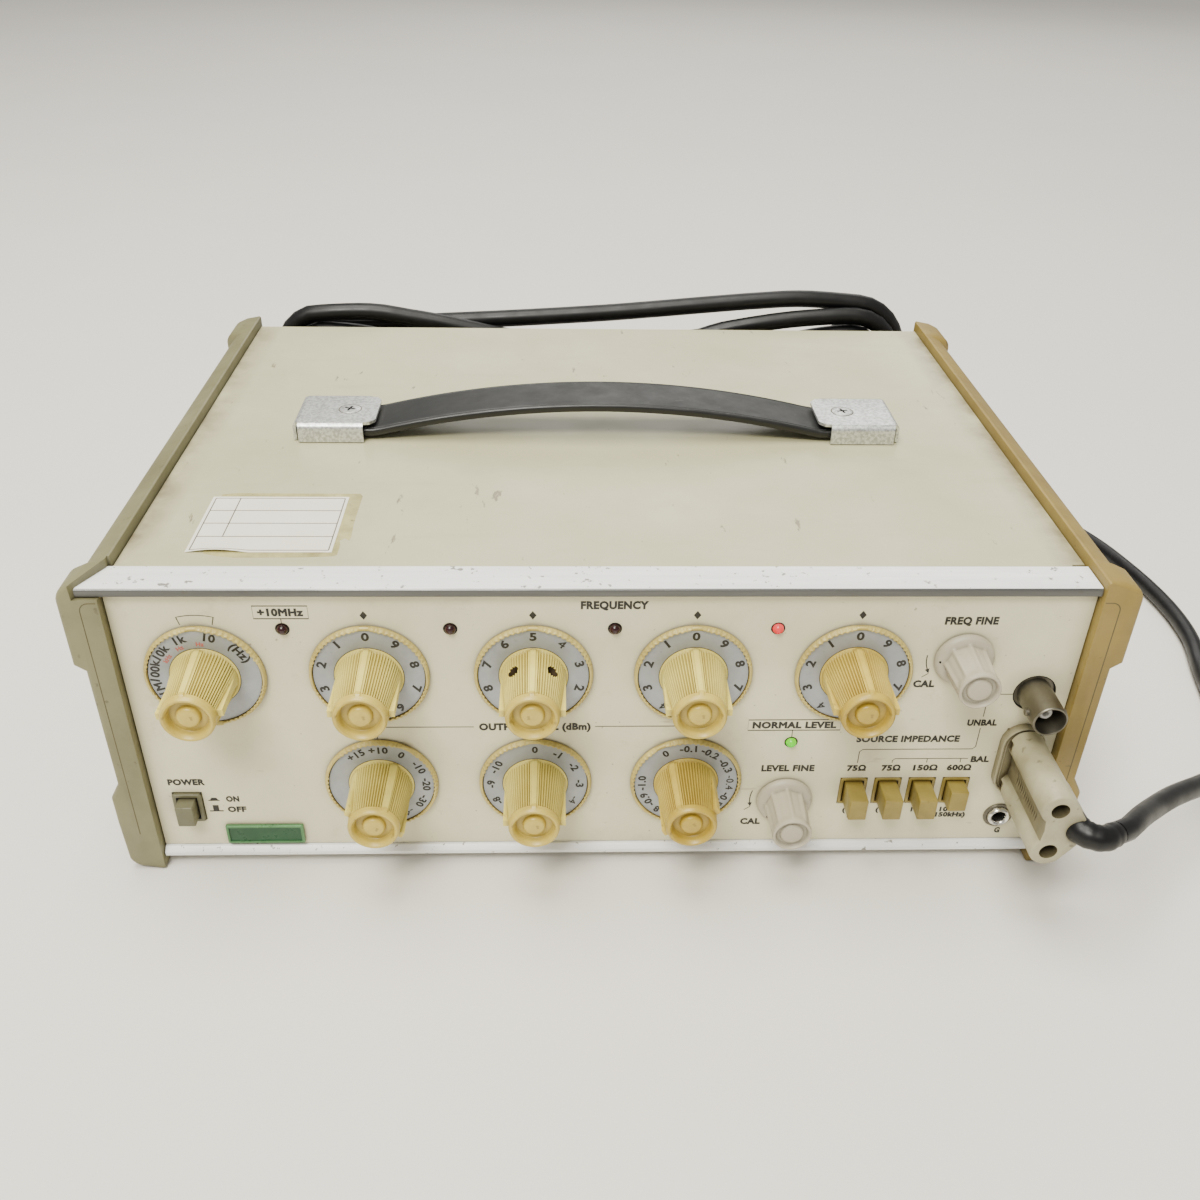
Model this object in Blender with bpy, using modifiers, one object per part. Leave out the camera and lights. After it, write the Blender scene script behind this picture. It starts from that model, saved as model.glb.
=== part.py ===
"""Bench signal generator with rotary decade dials, a carrying strap and its two leads.

The cabinet stands on its side frames. +X is right, +Y is back, +Z is up, and the origin
is the centre of the bounding box's base, with the leads left out.

Every size below is in millimetres. Inside the functions a point is (x, depth, height):
depth is measured backwards from the front panel's face, height from the standing surface.
"""

import math

import bmesh
import bpy
from mathutils import Euler, Matrix, Vector

MM = 0.001

# Overall
KNOB_REACH = 20.0
WRAP_REACH = 216.8
PANEL_Y = KNOB_REACH - (KNOB_REACH + WRAP_REACH) / 2
GAP = 0.3
SKIN_HALF = 130.8

# Cabinet
INNER_HALF = 131.1
RAIL_HALF = 139.1
FLARE_HALF = 142.0
RECESS_HALF = 134.4
RAIL_TOP = 101.5
COVER_TOP = 98.2
FRAME_FRONT = -3.2
FRAME_BACK = 195.7
BEZEL_DEPTH = 9.3
REAR_BEZEL_START = 180.0
UPPER_STEP = 75.1
UPPER_STEP_END = 73.4
LOWER_STEP = 27.9
LOWER_STEP_END = 32.9
BOTTOM_SKIN = 3.7
TRIM_DEPTH = 9.3
BAR_TOP = 98.9
PANEL_FOOT = 6.9
PANEL_HEAD = 96.1
PANEL_THICK = 2.0
REAR_FACE = 192.6
COVER_FRONT = 9.6
COVER_THICK = 1.5
COVER_LIP = 88.0
BOTTOM_LIP = 14.0
BAR_LEFT = -137.0

# Dials: the two rows of big knobs
FREQUENCY_ROW = 70.1
LEVEL_ROW = 31.0
RANGE_X = -108.4
FREQUENCY_X = (-64.3, -19.7, 24.1, 68.5)
LEVEL_X = (-64.2, -19.7, 24.3)
SKIRT_RADIUS = 16.3
SHAFT_RADIUS = 3.0
SHAFT_HOLE = 3.5
KNOB_GRIP = 14.0
SHAFT_BACK = 24.0
WING_HALF = 1.3
WING_REACH = 8.75

# Small knobs
FREQ_FINE = (98.4, 75.2)
LEVEL_FINE = (54.1, 23.5)
FINE_SHAFT_RADIUS = 2.0
FINE_SHAFT_DEPTH = (-10.7, 10.6)
BUSH_HOLE = 4.3

# Buttons
BUTTON_PITCH = 10.16
BUTTON_X = [74.2 + BUTTON_PITCH * i for i in range(4)]
BUTTON_HEIGHT = 26.6
BUTTON_OUT = 8.8
BUTTON_TRAVEL = 3.4
POWER_X = -121.15
POWER_HEIGHT = 22.15
POWER_IN = 5.0
BUTTON_CAP = (5.3, 7.3)
POWER_CAP = (5.1, 7.1)
CAP_LENGTH = 12.0
STEM_HALF = 1.5
STEM_WAY = (3.3, 3.3)
SLIDE_GAP = 0.35
SWITCH_DEPTH = (2.6, 34.0)

# Sockets and lamps on the panel
LAMP_X = (-86.0, -41.7, 2.2, 46.1)
LAMP_HEIGHT = 85.1
LEVEL_LAMP = (53.9, 45.4)
LAMP_HOLE = 1.95
BNC = (120.9, 62.9)
BNC_HOLE = 6.1
BALANCED = (120.9, 39.6)
PIN_SPACING = 14.8
GROUND = (120.1, 16.5)
GROUND_HOLE = 3.9
BADGE_X = (-111.75, -88.9)
BADGE_HEIGHT = (7.9, 15.0)
BADGE_RIM = 0.8

# Carrying strap
STRAP_DEPTH = (88.2, 108.4)
STRAP_TOP = 110.9
STRAP_END_TOP = 102.1
STRAP_THICK = 2.6
STRAP_END = 90.0
BRACKET_X = (71.8, 98.0)
BRACKET_DEPTH = (86.2, 110.4)
BRACKET_TOP = 104.7
SHEET = 1.0
SCREW_X = 81.0
SCREW_DEPTH = 98.3
STRAP_HOLE = 2.8
SCREW_HOLE = 2.5

# Rear of the cabinet
POST_X = 108.0
POST_HEIGHTS = (32.9, 82.9)
POST_RADIUS = 7.0
RELIEF = (-62.0, 42.0)
RELIEF_LENGTH = 26.0
RELIEF_HOLE = 6.0

# Mains lead
MAINS_RADIUS = 3.5
WINDING_DEPTH = (200.4, 213.6)
MAINS_EXIT_ROUTE = [
    (-62.0, 219.5, 42.0), (-62.0, 225.0, 42.0), (-61.2, 231.5, 41.6), (-57.5, 238.5, 40.6),
    (-50.5, 244.0, 38.8), (-41.0, 246.5, 36.2), (-31.0, 245.5, 33.0), (-21.5, 241.5, 29.6),
    (-13.0, 235.6, 26.4), (-5.0, 229.2, 23.9), (3.5, 223.4, 22.3), (12.5, 219.4, 21.6),
    (22.0, 217.7, 21.5), (30.0, 217.4, 21.5),
]
MAINS_TAIL_ROUTE = [
    (-84.0, 217.4, 12.0), (-77.0, 217.5, 11.9), (-69.0, 218.6, 11.1), (-61.0, 221.8, 9.4),
    (-53.5, 227.3, 7.2), (-47.5, 234.6, 5.1), (-43.2, 243.5, 4.0), (-41.0, 253.0, 3.7),
    (-40.2, 263.0, 3.6), (-40.0, 271.0, 3.6),
]
MAINS_PLUG = (-40.0, 271.3)

# Test lead
TEST_RADIUS = 3.2
BOOT_RADIUS = 3.9
PLUG_FRONT = -31.0
PLUG_BACK = -3.4
TEST_BOOT_ROUTE = [
    (126.6, -26.0, 39.8), (128.6, -31.2, 39.6), (133.4, -33.2, 39.2), (138.4, -30.6, 38.5),
]
TEST_LEAD_ROUTE = [
    (138.84, -30.37, 38.44), (142.8, -28.2, 37.8), (149.2, -21.8, 35.4), (157.4, -14.0, 31.7),
    (169.0, -4.6, 27.9), (183.5, 5.5, 22.9), (195.5, 15.6, 17.0), (206.4, 27.4, 10.6),
    (215.0, 40.6, 5.6), (220.8, 55.0, 3.7), (225.6, 72.6, 3.4), (230.2, 92.0, 3.4),
    (235.0, 110.0, 3.4), (236.4, 128.0, 3.4), (235.0, 146.0, 3.4), (231.6, 164.0, 3.4),
    (226.0, 184.0, 3.4), (216.0, 205.0, 3.4), (200.6, 223.6, 3.4), (180.6, 236.6, 3.4),
    (158.0, 242.6, 3.4), (142.0, 243.6, 3.4), (128.6, 243.6, 3.4),
]
TEST_COIL = (103.5, 285.6)
TEST_COIL_INNER = 32.0
TEST_COIL_OUTER = 45.4
TEST_COIL_HEIGHT = 13.4
CONNECTOR_FACE = (71.5, 239.0, 5.1)
BARREL_RADIUS = 5.0
PIN_RADIUS = 1.9
LOBE = (7.3, -0.6)

# Inside
MAIN_BOARD_HEIGHT = 18.0
SWITCH_HALF = 12.0
SWITCH_BOARD_DEPTH = (20.6, 22.2)
TRANSFORMER_X = (78.0, 122.0)
TRANSFORMER_DEPTH = (118.0, 172.0)

PUTTY = (0.690, 0.640, 0.520)
IVORY = (0.680, 0.545, 0.265)
FINISHES = {
    "case_left": ((0.310, 0.290, 0.190), 0.55, 0.0),
    "case_right": ((0.480, 0.380, 0.170), 0.55, 0.0),
    "cover": ((0.580, 0.530, 0.410), 0.38, 0.0),
    "panel": (PUTTY, 0.5, 0.0),
    "trim": ((0.85, 0.85, 0.85), 0.3, 1.0),
    "zinc": ((0.60, 0.60, 0.60), 0.35, 1.0),
    "steel": ((0.50, 0.50, 0.50), 0.3, 1.0),
    "nickel": ((0.24, 0.22, 0.19), 0.4, 1.0),
    "knob": (IVORY, 0.45, 0.0),
    "small_knob": ((0.52, 0.48, 0.44), 0.45, 0.0),
    "button": ((0.58, 0.45, 0.17), 0.4, 0.0),
    "power_button": ((0.26, 0.25, 0.19), 0.4, 0.0),
    "grey_plastic": ((0.50, 0.47, 0.40), 0.45, 0.0),
    "black_plastic": ((0.03, 0.03, 0.03), 0.5, 0.0),
    "strap": ((0.035, 0.035, 0.037), 0.45, 0.0),
    "rubber": ((0.02, 0.02, 0.02), 0.55, 0.0),
    "badge": ((0.03, 0.18, 0.09), 0.35, 0.0),
    "board": ((0.05, 0.22, 0.10), 0.5, 0.0),
    "laminate": ((0.35, 0.22, 0.08), 0.6, 0.0),
}


# ---------------------------------------------------------------- scene and materials


def clear_scene():
    for old in list(bpy.data.objects):
        bpy.data.objects.remove(old, do_unlink=True)


def make_collection(name):
    collection = bpy.data.collections.new(name)
    bpy.context.scene.collection.children.link(collection)
    return collection


clear_scene()
PARTS = make_collection("function_generator")
CUTTERS = make_collection("cutters")


def material(name, finish):
    colour, roughness, metallic = FINISHES[finish]
    made = bpy.data.materials.new(name)
    made.use_nodes = True
    shader = made.node_tree.nodes["Principled BSDF"]
    shader.inputs["Base Color"].default_value = (*colour, 1.0)
    shader.inputs["Roughness"].default_value = roughness
    shader.inputs["Metallic"].default_value = metallic
    return made


def place(x, depth, height):
    """A point of the cabinet in Blender's units."""
    return Vector((x, PANEL_Y + depth, height)) * MM


def add(name, mesh, finish=None):
    """A new object in the parts, or among the cutters when it has no finish."""
    obj = bpy.data.objects.new(name, mesh)
    if finish:
        PARTS.objects.link(obj)
        mesh.materials.append(material(name, finish))
    else:
        CUTTERS.objects.link(obj)
        obj.hide_render = True
        obj.display_type = "WIRE"
    return obj


# ---------------------------------------------------------------- shapes


def block(name, x, depth, height, finish=None, bevel=0.0):
    """A box between two corners, given as ranges."""
    work = bmesh.new()
    bmesh.ops.create_cube(work, size=1.0)
    low = place(x[0], depth[0], height[0])
    high = place(x[1], depth[1], height[1])
    bmesh.ops.scale(work, vec=high - low, verts=work.verts)
    mesh = bpy.data.meshes.new(name)
    work.to_mesh(mesh)
    work.free()
    obj = add(name, mesh, finish)
    obj.location = (low + high) / 2
    if bevel:
        round_edges(obj, bevel)
    return obj


def round_edges(obj, width, segments=2, angle=40.0):
    bevel = obj.modifiers.new("rounded edges", "BEVEL")
    bevel.width = width * MM
    bevel.segments = segments
    bevel.limit_method = "ANGLE"
    bevel.angle_limit = math.radians(angle)


def rod(name, x, height, radius, depth, finish=None, sides=24):
    """A cylinder along the depth direction."""
    work = bmesh.new()
    bmesh.ops.create_cone(
        work, cap_ends=True, segments=sides, radius1=radius * MM, radius2=radius * MM,
        depth=(depth[1] - depth[0]) * MM,
    )
    mesh = bpy.data.meshes.new(name)
    work.to_mesh(mesh)
    work.free()
    obj = add(name, mesh, finish)
    obj.rotation_euler = Euler((math.pi / 2, 0.0, 0.0))
    obj.location = place(x, (depth[0] + depth[1]) / 2, height)
    return obj


def turned(name, profile, x, height, finish=None, sides=24, closed=False, depth=0.0):
    """A turned shape on an axis along the depth direction.

    The profile is (radius, distance in front of the depth given) from front to back.
    """
    mesh = bpy.data.meshes.new(name)
    points = [Vector((radius, 0.0, ahead)) * MM for radius, ahead in profile]
    edges = [(i, i + 1) for i in range(len(points) - 1)]
    if closed:
        edges.append((len(points) - 1, 0))
    mesh.from_pydata(points, edges, [])
    obj = add(name, mesh, finish)
    screw = obj.modifiers.new("turn", "SCREW")
    screw.axis = "Z"
    screw.steps = sides
    screw.render_steps = sides
    screw.use_merge_vertices = True
    screw.merge_threshold = 0.00001
    obj.rotation_euler = Euler((math.pi / 2, 0.0, 0.0))
    obj.location = place(x, depth, height)
    return obj


def as_mesh(obj, weld=0.00001):
    """Turns a curve object into a mesh object with welded caps."""
    bpy.context.view_layer.update()
    evaluated = obj.evaluated_get(bpy.context.evaluated_depsgraph_get())
    mesh = bpy.data.meshes.new_from_object(evaluated)
    work = bmesh.new()
    work.from_mesh(mesh)
    bmesh.ops.remove_doubles(work, verts=work.verts, dist=weld)
    work.to_mesh(mesh)
    work.free()
    name = obj.name
    matrix = obj.matrix_world.copy()
    collection = obj.users_collection[0]
    finish = obj.get("finish", "")
    bpy.data.objects.remove(obj, do_unlink=True)
    made = bpy.data.objects.new(name, mesh)
    collection.objects.link(made)
    mesh.materials.clear()
    if finish:
        mesh.materials.append(material(name, finish))
    else:
        made.hide_render = True
        made.display_type = "WIRE"
    made.matrix_world = matrix
    return made


def flat(name, loops, plane, span, finish=None):
    """An outline given thickness: plane "xz" is extruded in depth, "yz" sideways, "xy" up."""
    curve = bpy.data.curves.new(name, "CURVE")
    curve.dimensions = "2D"
    curve.fill_mode = "BOTH"
    curve.extrude = (span[1] - span[0]) / 2 * MM
    for loop in loops:
        spline = curve.splines.new("POLY")
        spline.points.add(len(loop) - 1)
        spline.use_cyclic_u = True
        for point, (a, b) in zip(spline.points, loop):
            point.co = (a * MM, b * MM, 0.0, 1.0)
    obj = bpy.data.objects.new(name, curve)
    (PARTS if finish else CUTTERS).objects.link(obj)
    obj["finish"] = finish or ""
    middle = (span[0] + span[1]) / 2
    if plane == "xz":
        obj.rotation_euler = Euler((math.pi / 2, 0.0, 0.0))
        obj.location = place(0.0, middle, 0.0)
    elif plane == "yz":
        obj.rotation_euler = Euler((math.pi / 2, 0.0, math.pi / 2))
        obj.location = place(middle, 0.0, 0.0)
    else:
        obj.location = place(0.0, 0.0, middle)
    return as_mesh(obj)


def arc(cx, cy, radius, start, end, steps=6):
    """Points on an arc, angles in degrees."""
    return [
        (cx + radius * math.cos(math.radians(start + (end - start) * i / steps)),
         cy + radius * math.sin(math.radians(start + (end - start) * i / steps)))
        for i in range(steps + 1)
    ]


def rounded_rectangle(x, z, radius, steps=5):
    corners = [(x[1], z[1], 0.0), (x[0], z[1], 90.0), (x[0], z[0], 180.0), (x[1], z[0], 270.0)]
    points = []
    for cx, cz, start in corners:
        inward_x = -radius if cx == x[1] else radius
        inward_z = -radius if cz == z[1] else radius
        points += arc(cx + inward_x, cz + inward_z, radius, start, start + 90.0, steps)
    return points


def smooth_route(points, spacing):
    """Evenly spaced points on a Catmull-Rom curve through the route's own points."""
    fine = []
    padded = [points[0] * 2 - points[1], *points, points[-1] * 2 - points[-2]]
    for i in range(1, len(padded) - 2):
        a, b, c, d = padded[i - 1:i + 3]
        for step in range(24):
            t = step / 24
            fine.append(
                0.5 * (2 * b + (c - a) * t + (2 * a - 5 * b + 4 * c - d) * t * t
                       + (3 * b - a - 3 * c + d) * t * t * t)
            )
    fine.append(points[-1])
    along = [0.0]
    for before, after in zip(fine, fine[1:]):
        along.append(along[-1] + (after - before).length)
    count = max(2, round(along[-1] / spacing) + 1)
    even = []
    at = 0
    for i in range(count):
        target = along[-1] * i / (count - 1)
        while at < len(along) - 2 and along[at + 1] < target:
            at += 1
        share = (target - along[at]) / (along[at + 1] - along[at])
        even.append(fine[at].lerp(fine[at + 1], share))
    return even


def tube(name, route, radius, finish, spacing=5.0):
    """A cord's plain tube through the route's points, spacing in radii."""
    points = smooth_route([place(*p) for p in route], spacing * radius * MM)
    curve = bpy.data.curves.new(name, "CURVE")
    curve.dimensions = "3D"
    curve.bevel_depth = radius * MM
    curve.bevel_resolution = 2
    curve.use_fill_caps = True
    spline = curve.splines.new("POLY")
    spline.points.add(len(points) - 1)
    for target, point in zip(spline.points, points):
        target.co = (*point, 1.0)
    obj = bpy.data.objects.new(name, curve)
    (PARTS if finish else CUTTERS).objects.link(obj)
    obj["finish"] = finish
    return as_mesh(obj)


def combine(target, tool, operation):
    boolean = target.modifiers.new(operation.lower(), "BOOLEAN")
    boolean.operation = operation
    boolean.solver = "EXACT"
    boolean.object = tool
    tool.hide_render = True
    tool.display_type = "WIRE"


def cut(target, *tools):
    for tool in tools:
        combine(target, tool, "DIFFERENCE")


def join(target, *others):
    for other in others:
        combine(target, other, "UNION")


def bake(*objects):
    """Gives each object its finished mesh, with round faces smooth and real edges sharp."""
    bpy.context.view_layer.update()
    graph = bpy.context.evaluated_depsgraph_get()
    finished = [(obj, bpy.data.meshes.new_from_object(obj.evaluated_get(graph))) for obj in objects]
    for obj, mesh in finished:
        obj.modifiers.clear()
        obj.data = mesh
        mesh.name = obj.name
        mesh.shade_smooth()
        mesh.set_sharp_from_angle(angle=math.radians(35.0))


# ---------------------------------------------------------------- cabinet


def bezel_outline():
    """The right side frame's end section: flares out at the top and at the bottom."""
    return [
        (INNER_HALF, 0.0), *arc(134.2, 5.0, 5.0, -90.0, -20.0, 4),
        (140.6, 9.0), (FLARE_HALF, 18.0), (FLARE_HALF, LOWER_STEP), (RAIL_HALF, LOWER_STEP_END),
        (RAIL_HALF, UPPER_STEP_END), (FLARE_HALF, UPPER_STEP),
        *arc(138.0, 94.6, 4.0, 0.0, 65.0, 4), (137.0, 100.0), (INNER_HALF, RAIL_TOP),
    ]


def rail_outline():
    """The same frame's section between the bezels, with its side face set in."""
    return [
        (INNER_HALF, 0.0), *arc(134.6, 4.5, 4.5, -90.0, 0.0, 4),
        (RAIL_HALF, LOWER_STEP), (RECESS_HALF, LOWER_STEP + 2.0), (RECESS_HALF, 71.4),
        (RAIL_HALF, UPPER_STEP_END), *arc(136.6, 97.6, 2.5, 0.0, 70.0, 4), (INNER_HALF, RAIL_TOP),
    ]


def mirrored(outline):
    return [(-x, z) for x, z in reversed(outline)]


def side_frame(name, side, finish):
    turn = mirrored if side < 0 else list
    frame = flat(name, [turn(rail_outline())], "xz", (4.0, 185.0), finish)
    front = flat(name + "_front", [turn(bezel_outline())], "xz", (FRAME_FRONT, BEZEL_DEPTH))
    back = flat(name + "_back", [turn(bezel_outline())], "xz", (REAR_BEZEL_START, FRAME_BACK))
    join(frame, front, back)
    return frame


def cut_bar_notch(frame):
    """The top bar's end passes through the left frame's front corner."""
    cut(frame, block("bar_notch", (-137.6, -130.0), (-4.0, 9.8), (96.1, 103.0)))


def top_trim():
    low = PANEL_HEAD + GAP
    profile = [(-2.0, low), (TRIM_DEPTH, low), (TRIM_DEPTH, BAR_TOP), (-1.4, BAR_TOP), (-2.0, BAR_TOP - 0.6)]
    return flat("top_trim", [profile], "yz", (BAR_LEFT, SKIN_HALF), "trim")


def bottom_trim():
    top = PANEL_FOOT - GAP
    profile = [
        (-2.0, BOTTOM_SKIN), (TRIM_DEPTH, BOTTOM_SKIN), (TRIM_DEPTH, top), (-0.9, top), (-2.0, top - 1.1),
    ]
    return flat("bottom_trim", [profile], "yz", (-SKIN_HALF, SKIN_HALF), "trim")


def skin(name, heights, depth, lip_heights, lip_depth):
    """A flat sheet between the side frames, with a lip down or up each side."""
    sheet = block(name, (-SKIN_HALF, SKIN_HALF), depth, heights, "cover")
    for side in (-1, 1):
        edges = sorted((side * SKIN_HALF, side * (SKIN_HALF - COVER_THICK)))
        join(sheet, block(f"{name}_lip_{side}", edges, lip_depth, lip_heights))
    return sheet


def top_cover():
    depth = (COVER_FRONT, REAR_FACE)
    lip_depth = (COVER_FRONT, REAR_FACE - 2.4)
    heights = (COVER_TOP - COVER_THICK, COVER_TOP)
    cover = skin("top_cover", heights, depth, (COVER_LIP, COVER_TOP - 0.7), lip_depth)
    cut(cover, block("cover_corner", (127.2, 132.0), (9.0, 11.4), (95.0, 99.0)))
    return cover


def bottom_cover():
    depth = (COVER_FRONT, REAR_FACE - 2.3)
    heights = (BOTTOM_SKIN, BOTTOM_SKIN + COVER_THICK)
    return skin("bottom_cover", heights, depth, (BOTTOM_SKIN + 0.8, BOTTOM_LIP), depth)


def front_panel():
    depth = (0.0, PANEL_THICK)
    through = (-5.0, 7.0)
    panel = block("front_panel", (-SKIN_HALF, SKIN_HALF), depth, (PANEL_FOOT, PANEL_HEAD), "panel")
    holes = [(x, FREQUENCY_ROW, SHAFT_HOLE) for x in (RANGE_X, *FREQUENCY_X)]
    holes += [(x, LEVEL_ROW, SHAFT_HOLE) for x in LEVEL_X]
    holes += [(*FREQ_FINE, BUSH_HOLE), (*LEVEL_FINE, BUSH_HOLE), (*BNC, BNC_HOLE), (*GROUND, GROUND_HOLE)]
    holes += [(x, LAMP_HEIGHT, LAMP_HOLE) for x in LAMP_X] + [(*LEVEL_LAMP, LAMP_HOLE)]
    for number, (x, height, radius) in enumerate(holes):
        cut(panel, rod(f"panel_hole_{number}", x, height, radius, through, sides=16))
    for number, x in enumerate(BUTTON_X):
        opening = (x - 4.1, x + 4.1), through, (BUTTON_HEIGHT - 5.1, BUTTON_HEIGHT + 5.1)
        cut(panel, block(f"button_opening_{number}", *opening))
    power = (POWER_X - 4.35, POWER_X + 4.35), through, (POWER_HEIGHT - 5.45, POWER_HEIGHT + 5.45)
    cut(panel, block("power_opening", *power))
    cut(panel, block("balanced_opening", (116.0, 125.8), through, (29.0, 50.2)))
    return panel


def rear_panel():
    depth = (REAR_FACE - PANEL_THICK, REAR_FACE)
    heights = (BOTTOM_SKIN + 1.8, COVER_TOP - 1.8)
    panel = block("rear_panel", (-SKIN_HALF, SKIN_HALF), depth, heights, "cover")
    cut(panel, rod("relief_hole", *RELIEF, RELIEF_HOLE, (185.0, 200.0)))
    return panel


def badge():
    """A blank plate with a raised rim."""
    plate = block("badge", BADGE_X, (-1.2, -0.3), BADGE_HEIGHT, "badge")
    x = (BADGE_X[0] + BADGE_RIM, BADGE_X[1] - BADGE_RIM)
    heights = (BADGE_HEIGHT[0] + BADGE_RIM, BADGE_HEIGHT[1] - BADGE_RIM)
    cut(plate, block("badge_field", x, (-2.0, -0.8), heights))
    return plate


# ---------------------------------------------------------------- carrying strap


def strap_top(x):
    """Height of the strap's upper face: an arch between the brackets, flat inside them."""
    reach = min(abs(x) / BRACKET_X[0], 1.0)
    return STRAP_END_TOP + (STRAP_TOP - STRAP_END_TOP) * (1.0 - reach * reach)


def handle_strap():
    steps = 18
    arch = [BRACKET_X[0] * (2 * i / steps - 1) for i in range(steps + 1)]
    xs = [-STRAP_END, *arch, STRAP_END]
    upper = [(x, strap_top(x)) for x in xs]
    lower = [(x, strap_top(x) - STRAP_THICK) for x in reversed(xs)]
    strap = flat("handle_strap", [upper + lower], "xz", STRAP_DEPTH, "strap")
    for side in (-1, 1):
        cut(strap, upright_rod(f"strap_hole_{side}", side * SCREW_X, SCREW_DEPTH, STRAP_HOLE, (90.0, 120.0)))
    return strap


def upright_rod(name, x, depth, radius, height, finish=None, sides=16):
    obj = rod(name, x, 0.0, radius, (0.0, height[1] - height[0]), finish, sides)
    obj.rotation_euler = Euler((0.0, 0.0, 0.0))
    obj.location = place(x, depth, (height[0] + height[1]) / 2)
    return obj


def handle_bracket(name, side):
    """A bent sheet cap over the strap's end, open towards the strap."""
    x = sorted((side * BRACKET_X[0], side * BRACKET_X[1]))
    bracket = block(name, x, BRACKET_DEPTH, (COVER_TOP + GAP, BRACKET_TOP), "zinc")
    inner = sorted((side * (BRACKET_X[0] - 5.0), side * (BRACKET_X[1] - SHEET)))
    depth = (BRACKET_DEPTH[0] + SHEET, BRACKET_DEPTH[1] - SHEET)
    cut(bracket, block(name + "_hollow", inner, depth, (COVER_TOP - 2.0, BRACKET_TOP - SHEET)))
    cut(bracket, upright_rod(name + "_hole", side * SCREW_X, SCREW_DEPTH, SCREW_HOLE, (95.0, 110.0)))
    return bracket


# ---------------------------------------------------------------- knobs, shafts and switches


def big_knob(name, x, height):
    """Skirt, tapered grip and recessed cap as one turned piece, with a grip wing on each side."""
    profile = [
        (0.0, 19.0), (3.4, 19.0), (3.6, 17.6), (5.4, 17.6), (5.8, 19.6), (6.6, 20.0), (7.3, 19.3),
        (9.3, 1.4), (15.2, 1.2), (SKIRT_RADIUS, 0.5), (SKIRT_RADIUS, 0.4), (3.1, 0.4), (3.1, KNOB_GRIP),
        (0.0, KNOB_GRIP),
    ]
    knob = turned(name, profile, x, height, "knob", 24)
    thick = (height - WING_HALF, height + WING_HALF)
    wings = block(name + "_wings", (x - WING_REACH, x + WING_REACH), (-17.4, -1.3), thick)
    hollow = block(name + "_wing_gap", (x - 6.8, x + 6.8), (-18.4, 2.0), (height - 2.0, height + 2.0))
    cut(wings, hollow)
    join(knob, wings)
    return knob


def small_knob(name, x, height):
    profile = [
        (0.0, 15.3), (3.3, 15.3), (3.5, 14.6), (4.6, 14.6), (4.9, 15.6), (5.7, 15.2), (6.3, 2.4),
        (7.6, 2.1), (8.2, 1.2), (8.2, 0.5), (2.1, 0.5), (2.1, 11.0), (0.0, 11.0),
    ]
    return turned(name, profile, x, height, "small_knob", 20)


def shaft(name, x, height, radius, depth):
    return rod(name, x, height, radius, depth, "steel", 16)


def switch_board(name, positions, height, x_range, finish):
    """Rotary switches on one board, each with a hole for its shaft."""
    board = block(name, x_range, SWITCH_BOARD_DEPTH, (height - 13.0, height + 13.0), finish)
    for number, x in enumerate(positions):
        case = (x - SWITCH_HALF, x + SWITCH_HALF), (9.0, 21.0), (height - SWITCH_HALF, height + SWITCH_HALF)
        join(board, block(f"{name}_case_{number}", *case))
    for number, x in enumerate(positions):
        cut(board, rod(f"{name}_bore_{number}", x, height, SHAFT_HOLE, (0.0, 40.0), sides=16))
    return board


def fine_pot(name, x, height):
    """A round potentiometer with its threaded bush through the panel."""
    profile = [
        (2.4, -0.2), (4.0, -0.2), (4.0, -4.0), (8.0, -4.0), (8.0, -13.0), (0.0, -13.0), (0.0, -11.0),
        (2.4, -11.0),
    ]
    return turned(name, profile, x, height, "zinc", 20, closed=True)


# ---------------------------------------------------------------- buttons


def push_button(name, x, height, front, cap, finish):
    """A cap on a thinner stem that slides in the switch."""
    half_x, half_z = cap[0] / 2, cap[1] / 2
    button = block(
        name, (x - half_x, x + half_x), (-front, CAP_LENGTH - front),
        (height - half_z, height + half_z), finish,
    )
    width, heights = (x - STEM_HALF, x + STEM_HALF), (height - STEM_HALF, height + STEM_HALF)
    join(button, block(name + "_stem", width, (CAP_LENGTH - 1.0 - front, SHAFT_BACK), heights))
    return button


def switch_opening(name, x, height, cap, depth):
    half_x, half_z = cap[0] / 2 + SLIDE_GAP, cap[1] / 2 + SLIDE_GAP
    return block(name, (x - half_x, x + half_x), depth, (height - half_z, height + half_z))


def impedance_switch_bank():
    low, high = BUTTON_X[0] - 5.0, BUTTON_X[-1] + 5.0
    heights = (BUTTON_HEIGHT - 6.0, BUTTON_HEIGHT + 6.0)
    bank = block("impedance_switch_bank", (low, high), SWITCH_DEPTH, heights, "black_plastic")
    for number, x in enumerate(BUTTON_X):
        rim = (x - 3.8, x + 3.8), (0.4, 5.0), (BUTTON_HEIGHT - 4.8, BUTTON_HEIGHT + 4.8)
        join(bank, block(f"button_rim_{number}", *rim))
    for number, x in enumerate(BUTTON_X):
        cut(bank, switch_opening(f"button_way_{number}", x, BUTTON_HEIGHT, BUTTON_CAP, (-3.0, 11.6)))
        cut(bank, switch_opening(f"stem_way_{number}", x, BUTTON_HEIGHT, STEM_WAY, (9.0, 40.0)))
    return bank


def power_switch():
    switch = block(
        "power_switch", (POWER_X - 6.0, POWER_X + 6.0), SWITCH_DEPTH,
        (POWER_HEIGHT - 7.0, POWER_HEIGHT + 7.0), "black_plastic",
    )
    rim = (POWER_X - 4.05, POWER_X + 4.05), (-0.8, 5.0), (POWER_HEIGHT - 5.15, POWER_HEIGHT + 5.15)
    join(switch, block("power_rim", *rim))
    cut(switch, switch_opening("power_way", POWER_X, POWER_HEIGHT, POWER_CAP, (-3.0, 11.6)))
    cut(switch, switch_opening("power_stem_way", POWER_X, POWER_HEIGHT, STEM_WAY, (9.0, 40.0)))
    return switch


# ---------------------------------------------------------------- lamps and sockets


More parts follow.
